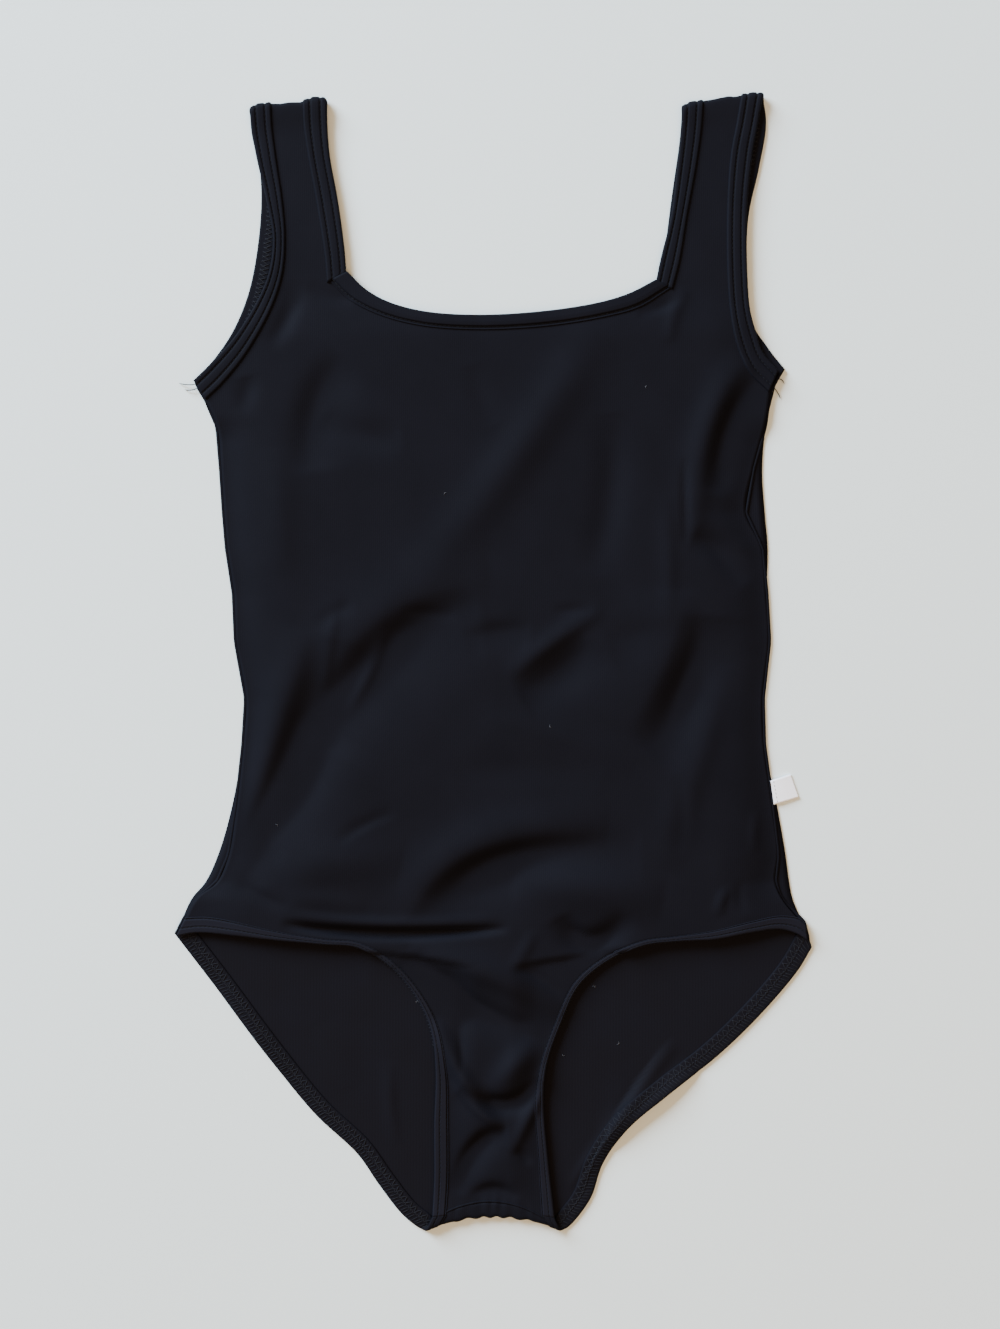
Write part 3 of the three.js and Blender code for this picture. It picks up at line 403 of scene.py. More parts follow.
def lengths_along(points):
    """Length of a path from its first point to each of its points."""
    return np.r_[0, np.cumsum(np.linalg.norm(np.diff(points, axis=0), axis=1))]


def shoulder_line(x):
    xs, ys = zip(*SHOULDER)
    return np.interp(x, xs, ys)


def uneven_wave(x, length, stray):
    """A wave along x whose crests stray from even places."""
    far, over = stray
    return np.sin(2 * math.pi * (x + far * np.sin(x / over)) / length)


def crotch_line(x):
    waves = FOLD_WAVE * uneven_wave(x, FOLD_WAVE_MM, FOLD_WAVE_STRAY)
    ends = smooth((SEAM_HALF - np.abs(x)) / FOLD_WAVE_FADE)
    return FOLD_Y - FOLD_DROP * (x / FOLD_HALF) ** 2 + waves * ends


def crotch_seam(x):
    return SEAM_Y - SEAM_DROP * ((x - SEAM_TOP_X) / SEAM_HALF) ** 2


def strap_dip(x, y):
    """How far a place near a strap's fold lies below where an unbent fold would put it."""
    xs, dips = zip(*STRAP_DIPS)
    return np.interp(x, xs, dips) * bell(y - shoulder_line(x), DIP_REACH)


def side_at(name, y):
    rows = SIDES[::-1]
    return np.interp(y, [r[0] for r in rows], [r[SIDE_COLUMN[name]] for r in rows])


def bent_line(start, via, end, steps):
    """Points of a curve from start to end that bends towards a place on its way."""
    t = np.linspace(0, 1, steps + 1)[:, None]
    start, via, end = (np.array(p, float) for p in (start, via, end))
    return (1 - t) ** 2 * start + 2 * t * (1 - t) * via + t**2 * end


def fold_heights(rows, x, y):
    """Height that the folds add at places, each a ridge or trough along a bent line."""
    total = np.zeros(np.shape(x))
    for *places, left, right, lift in rows:
        line = bent_line(*places, FOLD_STRAIGHTS)
        far = FOLD_REACH * max(left, right)
        near = (x > line[:, 0].min() - far) & (x < line[:, 0].max() + far)
        near &= (y > line[:, 1].min() - far) & (y < line[:, 1].max() + far)
        if not near.any():
            continue
        px, py = x[near][:, None], y[near][:, None]
        ax, ay = line[:-1, 0], line[:-1, 1]
        dx, dy = np.diff(line, axis=0).T
        s = np.clip(((px - ax) * dx + (py - ay) * dy) / (dx**2 + dy**2), 0, 1)
        ex, ey = px - ax - dx * s, py - ay - dy * s
        away = np.hypot(ex, ey)
        row = np.arange(len(away))
        k = away.argmin(axis=1)
        along = (k + s[row, k]) / FOLD_STRAIGHTS
        on_left = dx[k] * ey[row, k] - dy[k] * ex[row, k] > 0
        width = np.where(on_left, left, right)
        total[near] += lift * bell(away[row, k], width) * np.sin(math.pi * along) ** END_TAPER
    return total


def puckers(x, y):
    """Gathers where the elastic draws up the crotch seam."""
    ends = smooth((SEAM_HALF - np.abs(x)) / PUCKER_FADE)
    near = bell(y - crotch_seam(x) + PUCKER_BELOW, PUCKER_REACH) * ends
    return PUCKER * near * uneven_wave(x, PUCKER_MM, PUCKER_STRAY)


def fade(name, y):
    at, over = FADE[name]
    return smooth((y - at) / over)


def front_height(x, y):
    """Middle height of the front: billowing, clear of the bands under it, down at the side seams."""
    in_torso = fade("torso", y)
    left = mix(-CROTCH_HALF, side_at("frontLeft", y), in_torso)
    right = mix(CROTCH_HALF, side_at("frontRight", y), in_torso)
    inside = np.minimum(x - left, right - x)
    reach = mix(PUFF_REACH / 2, PUFF_REACH, in_torso)
    free = smooth(inside / reach) * fade("neckline", y) * fade("crotch", y)
    strength = bpy.context.scene.leotard_cloth.fold_strength
    folds = strength * (fold_heights(FRONT_FOLDS, x, y) + fold_heights(FRONT_CREASES, x, y))
    lowest = mix(LOWEST_FRONT, LOWEST_INSIDE, free)
    raised = FRONT_LEVEL + PUFF * free + folds + free * drift(x, y) - lowest
    clear = lowest + (raised + np.hypot(raised, CLAMP_SOFTNESS)) / 2
    roll = fade("underarm", y) * fade("hip", y) * bell(np.maximum(0, inside), SIDE_ROLL)
    turn = bell(y - shoulder_line(x), TURN_PUFF_REACH) + bell(y - crotch_line(x), TURN_PUFF_REACH)
    return mix(clear, SIDE_LEVEL, roll) + TURN_PUFF * turn + puckers(x, y)


# Slow unevenness of cloth that was smoothed by hand: height, and two ways over the cloth in mm
DRIFTS = ((0.28, 34, 61, 0.4), (0.22, -47, 29, 1.9), (0.16, 21, -38, 3.1), (0.1, 13, 17, 5.0))


def drift(x, y):
    return sum(h * np.sin(x / a + y / b + start) for h, a, b, start in DRIFTS)


def back_lift(x, y):
    # the table is under it, so it only rises
    return np.maximum(0, fold_heights(BACK_FOLDS, x, y) + fold_heights(BACK_CREASES, x, y))


# How far the middle of a piece lies above the panel on the front, and above the table on the back
PANEL = (0.0, CLOTH / 2)
BAND = (BAND_RISE, BAND_THICK / 2)
CASING = (BAND_RISE, CASING_THICK / 2)


def turned(x, y, line, down, level):
    """Places in space of flat cloth that turns round a fold line, past 0 on the first layer."""
    past = down * (line - y)

    def top(yy):
        return front_height(x, yy) + level[0]

    def bottom(yy):
        return back_lift(x, yy) + level[1]

    radius, centre = (top(line) - bottom(line)) / 2, (top(line) + bottom(line)) / 2
    beyond = line + down * (past - TURN)
    angle = math.pi * np.clip(past / TURN, 0, 1)
    first, second = (bottom, top) if down > 0 else (top, bottom)
    z = np.where(past <= 0, first(y), second(beyond))
    on_turn = (past > 0) & (past < TURN)
    z = np.where(on_turn, centre - down * radius * np.cos(angle), z)
    flat_y = np.where(past <= 0, y, beyond)
    return np.stack([x, np.where(on_turn, line - down * radius * np.sin(angle), flat_y), z], axis=-1)


def over_shoulder(level):
    def surface(x, y):
        points = turned(x, y, shoulder_line(x), -1, level)
        points[..., 1] -= strap_dip(x, points[..., 1])
        return points

    return surface


def round_crotch(level):
    return lambda x, y: turned(x, y, crotch_line(x), 1, level)


def across_shoulder(p):
    p = np.asarray(p, float)
    return np.stack([p[..., 0], 2 * shoulder_line(p[..., 0]) + TURN - p[..., 1]], axis=-1)


def across_crotch(p):
    p = np.asarray(p, float)
    return np.stack([p[..., 0], 2 * crotch_line(p[..., 0]) - TURN - p[..., 1]], axis=-1)


NUDGE = 0.05


def placed(surface, flat, height=0.0):
    """Points of a surface raised along its normal, and the normals."""
    x, y = flat[..., 0], flat[..., 1]
    along_x = surface(x + NUDGE, y) - surface(x - NUDGE, y)
    along_y = surface(x, y + NUDGE) - surface(x, y - NUDGE)
    normal = unit(np.cross(along_x, along_y))
    return surface(x, y) + normal * np.asarray(height)[..., None], normal


class Line:
    """A centripetal spline through places on the flat cloth, t from 0 to 1."""

    def __init__(self, places):
        p = np.asarray(places, float)
        self.p = np.vstack([2 * p[0] - p[1], p, 2 * p[-1] - p[-2]])
        self.steps = len(p) - 1

    def __call__(self, t):
        at = np.clip(np.asarray(t, float), 0, 1) * self.steps
        i = np.minimum(at.astype(int), self.steps - 1)
        w = (at - i)[..., None]
        a, b, c, d = (self.p[i + k] for k in range(4))
        pairs = ((a, b), (b, c), (c, d))
        ab, bc, cd = (np.sqrt(np.linalg.norm(v - u, axis=-1, keepdims=True)) for u, v in pairs)
        t1 = bc * ((b - a) / ab - (c - a) / (ab + bc) + (c - b) / bc)
        t2 = bc * ((c - b) / bc - (d - b) / (bc + cd) + (d - c) / cd)
        return b + t1 * w + (3 * (c - b) - 2 * t1 - t2) * w**2 + (2 * (b - c) + t1 + t2) * w**3


def widened(rows, times):
    """Sections with their seams moved away from the free edge, but for the corners at the ends."""
    r = np.array(rows, float)
    r[1:-1, 2:] = r[1:-1, :2] + (r[1:-1, 2:] - r[1:-1, :2]) * times
    return r


class Trim:
    """A sewn strip between its free edge and its seam."""

    def __init__(self, sections):
        rows = np.asarray(sections, float)
        self.edge, self.seam = Line(rows[:, :2]), Line(rows[:, 2:])

    def at(self, t, across):
        e, s = self.edge(t), self.seam(t)
        return e + (s - e) * np.asarray(across)[..., None]

    def tucked(self, t):
        """The panel's own edge, which ends inside the strip."""
        return self.at(t, TUCK)

    def width(self, t):
        return np.linalg.norm(self.seam(t) - self.edge(t), axis=-1)


def turned_back(rows):
    r = np.asarray(rows, float)
    return np.hstack([across_shoulder(r[:, :2]), across_shoulder(r[:, 2:])])


def turned_casing(back, front):
    """A back casing goes round the crotch fold and ends on the front, against the front casing."""
    first, last = np.array(back[-1], float), np.array(front[-1], float)
    middle = (first + last) / 2
    for k in (0, 2):
        middle[k + 1] = crotch_line(middle[k]) - TURN / 2
        last[k : k + 2] = across_crotch(last[k : k + 2])
    return np.vstack([back, middle, last])


TRIMS = {
    "neckline": Trim(widened(NECKLINE, NECKLINE_WIDER)),
    "neck": Trim(np.vstack([STRAP_NECK_LEFT, turned_back(BACK_NECK), STRAP_NECK_RIGHT])),
    "arm_left": Trim(np.vstack([ARMHOLE_FRONT_LEFT, turned_back(ARMHOLE_BACK_LEFT)])),
    "arm_right": Trim(np.vstack([ARMHOLE_FRONT_RIGHT, turned_back(ARMHOLE_BACK_RIGHT)])),
    "leg_front_left": Trim(LEG_FRONT_LEFT),
    "leg_front_right": Trim(LEG_FRONT_RIGHT),
    "leg_back_left": Trim(turned_casing(LEG_BACK_LEFT, LEG_FRONT_LEFT)),
    "leg_back_right": Trim(turned_casing(LEG_BACK_RIGHT, LEG_FRONT_RIGHT)),
}

LENGTH_SAMPLES = 400


def evenly(line, steps, low=0.0, high=1.0):
    """Points that divide a stretch of a line into even lengths."""
    t = np.linspace(low, high, LENGTH_SAMPLES)
    lengths = lengths_along(line(t))
    return line(np.interp(np.linspace(0, lengths[-1], steps + 1), lengths, t))


def between(a, b, steps):
    return mix(np.asarray(a, float), np.asarray(b, float), np.linspace(0, 1, steps + 1)[:, None])


HALVINGS = 40


def reach(line, measure, value, low=0.0, high=1.0):
    """The t at which a measure of a line's points reaches a value."""
    rising = measure(line(high)) > measure(line(low))
    for _ in range(HALVINGS):
        middle = (low + high) / 2
        if (measure(line(middle)) < value) == rising:
            low = middle
        else:
            high = middle
    return low


def how_far_up(p):
    return p[1]


def past_shoulder(p):
    return p[1] - shoulder_line(p[0])


def past_crotch(p):
    return crotch_line(p[0]) - p[1]


def filled(bottom, top, left, right):
    """Grid between four rows of points: bottom and top run left to right, the sides run up."""
    u = np.linspace(0, 1, len(bottom))[None, :, None]
    v = np.linspace(0, 1, len(left))[:, None, None]
    return (
        (1 - v) * bottom[None]
        + v * top[None]
        + (1 - u) * left[:, None]
        + u * right[:, None]
        - (1 - u) * (1 - v) * bottom[0]
        - u * (1 - v) * bottom[-1]
        - (1 - u) * v * top[0]
        - u * v * top[-1]
    )


def side_line(name, hip, underarm):
    inner = [(r[SIDE_COLUMN[name]], r[0]) for r in SIDES[1:-1]][::-1]
    return Line([hip, *inner, underarm])


# Steps of the panels' grids along each stretch of their edges
FRONT_STEPS = dict(leg=56, crotch=40, crotch_side=84, side=150, arm=44, strap_width=18, strap=46)
BACK_STEPS = dict(leg=84, side=90, arm=30, strap_width=8, neck=92, strap=40)
TURN_STEPS = 12
# Levels at which the grids are split, and how far the front laps past the shoulder and crotch seams
CROTCH_TOP = -166
BACK_STRAP_BASE = 196
PAST_SHOULDER = TURN + 3
SEAM_LAP = 1
# Places t along the armhole and neck strips between which a level is looked for
ARM_MIDDLE, ARM_PAST_SHOULDER, ARM_UP_BACK = 0.5, 0.9, 0.6
NECK_MIDDLE, NECK_DOWN_BACK, NECK_UP_BACK = 0.5, 0.2, 0.8


def strap_up(trim, start, end):
    """Points of a strap's side from its base over the shoulder to the shoulder seam."""
    fold = reach(trim.tucked, past_shoulder, 0, start, end)
    past = [*(TURN * (k + 1) / TURN_STEPS for k in range(TURN_STEPS)), PAST_SHOULDER]
    turn = [trim.tucked(reach(trim.tucked, past_shoulder, p, start, end)) for p in past]
    return np.vstack([evenly(trim.tucked, FRONT_STEPS["strap"], start, fold)[1:], turn])


def strap_grid(base, left, right):
    steps = len(base) - 1
    return np.stack([base, *(between(a, b, steps) for a, b in zip(left, right))])


def front_blocks():
    """Grids of the front panel: torso, crotch, and two straps that reach just over the fold."""
    n = FRONT_STEPS
    neckline, neck = TRIMS["neckline"].tucked, TRIMS["neck"].tucked
    arms = [TRIMS["arm_left"], TRIMS["arm_right"]]
    legs = [TRIMS["leg_front_left"].tucked, TRIMS["leg_front_right"].tucked]
    corners = [np.array([neck(0)[0], neckline(0)[1]]), np.array([neck(1)[0], neckline(1)[1]])]
    bases = [reach(a.tucked, how_far_up, c[1], 0, ARM_MIDDLE) for a, c in zip(arms, corners)]
    sides = [
        np.vstack(
            [
                evenly(side_line(name, leg(0), arm.tucked(0)), n["side"])[:-1],
                evenly(arm.tucked, n["arm"], 0, base),
            ]
        )
        for name, leg, arm, base in zip(("frontLeft", "frontRight"), legs, arms, bases)
    ]
    strap_bases = [
        between(arms[0].tucked(bases[0]), corners[0], n["strap_width"]),
        between(corners[1], arms[1].tucked(bases[1]), n["strap_width"]),
    ]
    across = 2 * n["leg"] + n["crotch"]
    neck_row = evenly(neckline, across - 2 * n["strap_width"] - 2)
    top = np.vstack([strap_bases[0], neck_row, strap_bases[1]])
    splits = [reach(leg, how_far_up, CROTCH_TOP) for leg in legs]
    hips = [evenly(legs[0], n["leg"], 0, splits[0]), evenly(legs[1], n["leg"], splits[1], 0)]
    crotch_top = between(hips[0][-1], hips[1][0], n["crotch"])
    bottom = np.vstack([hips[0][:-1], crotch_top, hips[1][1:]])
    torso = filled(bottom, top, *sides)

    up = [evenly(leg, n["crotch_side"], 1, split) for leg, split in zip(legs, splits)]
    seam_row = between(up[0][0], up[1][0], n["crotch"])
    seam_row[1:-1, 1] = crotch_seam(seam_row[1:-1, 0]) - SEAM_LAP
    crotch = filled(seam_row, crotch_top, *up)

    arm_sides = [strap_up(arm, base, ARM_PAST_SHOULDER) for arm, base in zip(arms, bases)]
    neck_sides = [strap_up(TRIMS["neck"], start, NECK_MIDDLE) for start in (0, 1)]
    left = strap_grid(strap_bases[0], arm_sides[0], neck_sides[0])
    right = strap_grid(strap_bases[1], neck_sides[1], arm_sides[1])
    return [torso, crotch, left, right]


def back_blocks():
    """Grids of the back panel: torso down to the fold, the turn up to the crotch seam, two straps."""
    n = BACK_STEPS
    neck = TRIMS["neck"].tucked
    arms = [TRIMS["arm_left"].tucked, TRIMS["arm_right"].tucked]
    legs = [TRIMS["leg_back_left"].tucked, TRIMS["leg_back_right"].tucked]

    def on_back(line):
        return lambda t: across_shoulder(line(t))

    bases = [reach(on_back(arm), how_far_up, BACK_STRAP_BASE, 1, ARM_UP_BACK) for arm in arms]
    sides = []
    for name, leg, arm, base in zip(("backLeft", "backRight"), legs, arms, bases):
        foot = reach(leg, past_crotch, 0)
        side = side_line(name, leg(0), on_back(arm)(1.0))
        parts = [evenly(leg, n["leg"], foot, 0)[:-1], evenly(side, n["side"])[:-1]]
        sides.append(np.vstack([*parts, evenly(on_back(arm), n["arm"], 1, base)]))
    ends = [
        reach(on_back(neck), how_far_up, BACK_STRAP_BASE, start, NECK_MIDDLE)
        for start in (NECK_DOWN_BACK, NECK_UP_BACK)
    ]
    neck_row = evenly(on_back(neck), n["neck"], *ends)
    strap_bases = [
        between(sides[0][-1], neck_row[0], n["strap_width"]),
        between(neck_row[-1], sides[1][-1], n["strap_width"]),
    ]
    top = np.vstack([strap_bases[0][:-1], neck_row, strap_bases[1][1:]])
    columns = len(top) - 1
    foot_row = between(sides[0][0], sides[1][0], columns)
    foot_row[:, 1] = crotch_line(foot_row[:, 0])
    torso = filled(foot_row, top, *sides)

    rows = [foot_row]
    for k in range(TURN_STEPS):
        past = TURN * (k + 1) / TURN_STEPS
        row = between(*(leg(reach(leg, past_crotch, past)) for leg in legs), columns)
        row[:, 1] = crotch_line(row[:, 0]) - past
        rows.append(row)
    last = between(*(across_crotch(leg(1.0)) for leg in legs), columns)
    last[:, 1] = crotch_seam(last[:, 0])
    last = across_crotch(last)
    rows += [mix(rows[-1], last, s) for s in (1 / 3, 2 / 3, 1)]
    gusset = np.stack(rows[::-1])

    def strap(left, right, base):
        sides_up = []
        for line, start, towards in (left, right):
            end = reach(line, past_shoulder, PAST_SHOULDER, start, towards)
            sides_up.append(evenly(on_back(line), n["strap"], start, end)[1:])
        return strap_grid(base, *sides_up)

    straps = [
        strap((arms[0], bases[0], 0.0), (neck, ends[0], 0.0), strap_bases[0]),
        strap((neck, ends[1], 1.0), (arms[1], bases[1], 0.0), strap_bases[1]),
    ]
    return [gusset, torso, *straps]


def new_object(name, points, faces, materials, face_slots=None):
    """A mesh object from points in millimetres, riding on the garment's one body."""
    mesh = bpy.data.meshes.new(name)
    mesh.from_pydata((np.asarray(points) * MM).tolist(), [], faces)
    for material in materials:
        mesh.materials.append(material)
    if face_slots is not None:
        mesh.polygons.foreach_set("material_index", np.asarray(face_slots, np.int32))
    mesh.polygons.foreach_set("use_smooth", [True] * len(mesh.polygons))
    mesh.validate()
    mesh.update()
    made = bpy.data.objects.new(name, mesh)
    bpy.context.scene.collection.objects.link(made)
    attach(made, "root")
    return made


def grid_quads(rows, columns):
    """Four corners of each cell of a grid of points, numbered row by row."""
    number = np.arange(rows * columns).reshape(rows, columns)
    corners = (number[:-1, :-1], number[:-1, 1:], number[1:, 1:], number[1:, :-1])
    return np.stack(corners, axis=-1).reshape(-1, 4)


# Above this level, the hips, the back's face shows past the front's sides
FACE_SHOWS_ABOVE = -136


def cloth_panel(name, blocks, surface, thickness, outside, materials):
    """A closed wall of cloth on grids drawn on the flat cloth. Materials are outside and inside."""
    flat, faces, start = [], [], 0
    for grid in blocks:
        faces.append(start + grid_quads(*grid.shape[:2]))
        flat.append(grid.reshape(-1, 2))
        start += len(flat[-1])
    flat, faces = np.vstack(flat), np.vstack(faces)
    _, first, same = np.unique(np.round(flat, 2), axis=0, return_index=True, return_inverse=True)
    flat, faces = flat[first], same.reshape(-1)[faces]
    edges = np.stack([faces, np.roll(faces, -1, axis=1)], axis=-1).reshape(-1, 2)
    have = {tuple(e) for e in edges.tolist()}
    rim = [(a, b) for a, b in have if (b, a) not in have]
    count = len(flat)
    above, _ = placed(surface, flat, thickness / 2)
    below, _ = placed(surface, flat, -thickness / 2)
    quads = faces.tolist() + (faces[:, ::-1] + count).tolist()
    quads += [[b, a, a + count, b + count] for a, b in sorted(rim)]
    upper, lower = (0, 1) if outside > 0 else (1, 0)
    x, y = flat[faces].mean(axis=1).T
    # past the front's sides the cloth that shows is the back's face, turned up round the body
    past_side = (x < side_at("frontLeft", y)) | (x > side_at("frontRight", y))
    shown = np.where(past_side & (y > FACE_SHOWS_ABOVE), 0, upper)
    slots = [*shown.tolist(), *[lower] * len(faces), *[0] * len(rim)]
    return new_object(name, np.vstack([above, below]), quads, materials, slots)


def ring_mesh(rings):
    """Quads that join rings of points, and end faces, from an array of stations by ring points."""
    stations, ring = rings.shape[:2]
    number = np.arange(stations * ring).reshape(stations, ring)
    beside = np.roll(number, -1, axis=1)
    quads = np.stack([number[:-1], beside[:-1], beside[1:], number[1:]], axis=-1).reshape(-1, 4)
    return rings.reshape(-1, 3), quads.tolist() + [number[0, ::-1].tolist(), number[-1].tolist()]


def joined(tubes):
    """Points and faces of several closed tubes, each a stack of rings."""
    points, faces, start = [], [], 0
    for rings in tubes:
        own, pattern = ring_mesh(rings)
        points.append(own)
        faces += [[v + start for v in face] for face in pattern]
        start += len(own)
    return np.vstack(points), faces


def round_edges(across, width, radius):
    """Falls to nothing at both edges as a quarter circle of the strip's own half thickness."""
    from_edge = np.minimum(across, 1 - across) * width
    t = np.clip(from_edge / radius, 0, 1)
    return np.sqrt(np.clip(1 - (1 - t) ** 2, 0, 1))


# Where the stitched grooves run, as shares of a strip's width from its free edge, how deep they go
# against half its thickness, and how wide they are
BINDING_GROOVES, BINDING_DEPTH, BINDING_WIDE = (0.27, 0.7), 0.55, 0.04
NECKLINE_GROOVE, NECKLINE_DEPTH, NECKLINE_WIDE = 0.84, 0.95, 0.06
CASING_GROOVES, CASING_DEPTHS, CASING_WIDE = (0.4, 0.9), (0.42, 0.8), 0.042

# The rest of their outsides: how far a binding's ribs swell, the middle one's place and their width;
# how far a hump or a casing falls off, from which share of the width, and over how much of it
BINDING_SWELL, BINDING_MIDDLE, BINDING_RIB = 0.05, 0.48, 0.43
HUMP_FALL, HUMP_FROM, HUMP_OVER = 0.3, 0.45, 0.35
VALLEY_FALL, VALLEY_OVER = 0.75, 0.08
CASING_FULL, CASING_FALL, CASING_FROM, CASING_OVER = 0.98, 0.16, 0.3, 0.3


# Outsides of the strips: height against half the thickness, by share of the width
def binding_outside(across):
    """Three ribs parted by two stitched grooves."""
    swell = BINDING_SWELL * np.cos(2 * math.pi * (across - BINDING_MIDDLE) / BINDING_RIB)
    ribs = 1 - BINDING_SWELL + swell
    return ribs - BINDING_DEPTH * sum(bell(across - g, BINDING_WIDE) for g in BINDING_GROOVES)


def neckline_outside(across):
    """One rounded hump and the valley where it is stitched down."""
    hump = 1 - HUMP_FALL * smooth((across - HUMP_FROM) / HUMP_OVER)
    valley = NECKLINE_DEPTH * bell(across - NECKLINE_GROOVE, NECKLINE_WIDE)
    return hump - valley - VALLEY_FALL * smooth((across - NECKLINE_GROOVE) / VALLEY_OVER)


def casing_outside(across):
    """A fuller edge, and two stitched grooves that come together where the casing narrows."""
    low, high = (d * bell(across - g, CASING_WIDE) for g, d in zip(CASING_GROOVES, CASING_DEPTHS))
    return CASING_FULL - CASING_FALL * smooth((across - CASING_FROM) / CASING_OVER) - low - high


# Insides of the strips lie flat against the body
flat_inside = constant(0.9)


def ways_across(points, normals):
    """Beside and above a path at each of its points."""
    along = unit(np.gradient(points, axis=-2))
    beside = unit(np.cross(along, normals))
    return beside, np.cross(beside, along)


THREAD_SIDES = 6
THREAD_TAPER = np.array([0.45, 0.9, 1, 0.9, 0.45])


def thread_rings(paths, normals, radius):
    """Short closed threads, one for each path of five points."""
    with np.errstate(invalid="ignore"):
        beside, above = ways_across(paths, normals)
    angle = np.linspace(0, 2 * math.pi, THREAD_SIDES, endpoint=False)[:, None]
    ring = np.cos(angle) * beside[:, :, None] + np.sin(angle) * above[:, :, None]
    rings = paths[:, :, None] + radius * THREAD_TAPER[None, :, None, None] * ring
    # a thread that stands on the fold line itself has no way up there
    return rings[np.isfinite(rings).all(axis=(1, 2, 3))]


def spaced(trim, share, pitch, span=(0, 1)):
    """Stations every pitch along a strip at a share of its width, and its t by length along it."""
    t = np.linspace(*span, LENGTH_SAMPLES * 2)
    lengths = lengths_along(trim.at(t, share))
    return np.arange(pitch / 2, lengths[-1], pitch), lambda s: np.interp(s, lengths, t)


# Places along a thread, how far its ends dip into the cloth, and how much of a stitch shows
THREAD_STATIONS = np.linspace(-0.5, 0.5, len(THREAD_TAPER))
DIP = np.array([-1, 0, 0.35, 0, -1]) * 0.14
STITCH_SHOWS = 0.78

# How far covering threads stray, against their lean, their pitch and the strip's width
LEAN_STRAY, PLACE_STRAY, END_STRAY = 0.12, 0.1, 0.02


def stitch_row(trim, surface, share, height_of, pitch):
    """Stitches in line along a strip, at a share of its width."""
    stations, to_t = spaced(trim, share, pitch)
    t = to_t(stations[:, None] + THREAD_STATIONS[None] * pitch * STITCH_SHOWS)
    height = height_of(np.full(t.shape, share))
    return placed(surface, trim.at(t, share), height + np.sign(height) * DIP)


def crossing_row(trim, surface, shares, height_of, pitch, lean, span=(0, 1), turns=False, seed=1):
    """Leaning threads that cross a strip from one share of its width to another, all uneven."""
    stations, to_t = spaced(trim, sum(shares) / 2, pitch, span)
    uneven = np.random.default_rng(seed)
    count = len(stations)
    way = np.where(np.arange(count) % 2, 1, -1) if turns else np.ones(count)
    leans = lean * way * uneven.normal(1, LEAN_STRAY, count)
    stations = stations + uneven.normal(0, PLACE_STRAY * pitch, count)
    t = to_t(stations[:, None] + THREAD_STATIONS[None] * leans[:, None])
    ends = np.array(shares)[:, None] + uneven.normal(0, END_STRAY, (2, count))
    across = mix(ends[0][:, None], ends[1][:, None], THREAD_STATIONS[None] + 0.5)
    height = height_of(across)
    return placed(surface, trim.at(t, across), height + np.sign(height) * DIP)


def thread_object(name, rows, radius, finish):
    """One mesh of all the threads of several rows, each row its paths and normals."""
    paths, normals = (np.concatenate([row[k] for row in rows]) for k in (0, 1))
    return new_object(name, *joined(thread_rings(paths, normals, radius)), [finish_of(finish)])


# Sides of a seam's rib, and the points over which it narrows to a share of its size at its ends
RIB_SIDES = 10
RIB_END_POINTS, RIB_END = 3, 0.3


def rib_rings(points, normals, half_width, half_height):
    """Rings of an oval rib along points, thinner towards both ends."""
    beside, above = ways_across(points, normals)
    angle = np.linspace(0, 2 * math.pi, RIB_SIDES, endpoint=False)[:, None]
    near_end = np.minimum(np.arange(len(points)), np.arange(len(points))[::-1]) / RIB_END_POINTS
    size = RIB_END + (1 - RIB_END) * np.sin(np.clip(near_end, 0, 1) * math.pi / 2)
    oval = half_width * np.cos(angle) * beside[:, None] + half_height * np.sin(angle) * above[:, None]
    return points[:, None] + size[:, None, None] * oval


def rib_object(name, ribs, finish):
    return new_object(name, *joined(ribs), [finish_of(finish)])


def evened(points, step):
    """The same path with its points a step apart."""
    lengths = lengths_along(points)
    at = np.linspace(0, lengths[-1], max(4, int(lengths[-1] / step)) + 1)
    return np.stack([np.interp(at, lengths, points[:, k]) for k in range(points.shape[1])], axis=-1)


def add_node(tree, kind, inputs=None, links=None, **settings):
    """A node with its settings, its inputs' values and the sockets that feed it."""
    made = tree.nodes.new(kind)
    for name, value in settings.items():
        setattr(made, name, value)
    for name, value in (inputs or {}).items():
        made.inputs[name].default_value = value
    for name, source in (links or {}).items():
        tree.links.new(source, made.inputs[name])
    return made


def new_material(name, values):
    """A material with its shader's own values, its node tree, and places on the object in metres."""
    material = bpy.data.materials.new(name)
    material.use_nodes = True
    tree = material.node_tree
    tree.nodes.clear()
    shader = add_node(tree, "ShaderNodeBsdfPrincipled", values)
    add_node(tree, "ShaderNodeOutputMaterial", links={"Surface": shader.outputs["BSDF"]})
    return material, tree, shader, add_node(tree, "ShaderNodeTexCoord").outputs["Object"]


WAVE_TURNS = 20


def wave_scale(period_mm):
    """Scale of a band texture for a real period, since one unit holds 20 radians."""
    return 2 * math.pi / (WAVE_TURNS * period_mm * MM)


def noise_scale(size_mm):
    return 1 / (size_mm * MM)


# Sockets of a mix node that mixes colours
MIX_FACTOR, MIX_A, MIX_B, MIX_RESULT = 0, 6, 7, 2

# Sizes of the finishes' patterns in mm. Wales and yarn fuzz are really about 0.35 mm apart, the
# ribbon's floats 0.1 mm and the paint's tooth 0.3 mm, too fine to show, so they are drawn coarser.
CLOTH_CLOUDS_MM, YARN_FUZZ_MM, FUZZ_RELIEF_MM = 26, 0.9, 0.12
FACE_WALE_MM, INSIDE_WALE_MM, STRETCHED_WALE_MM = 1.1, 1.6, 0.9
TWIST_MM, TWIST_RELIEF_MM = 0.5, 0.08
FLOAT_MM, FLOAT_RELIEF_MM = 0.6, 0.05
PAINT_CLOUDS_MM, TOOTH_MM, TOOTH_RELIEF_MM = 300, 0.8, 0.05


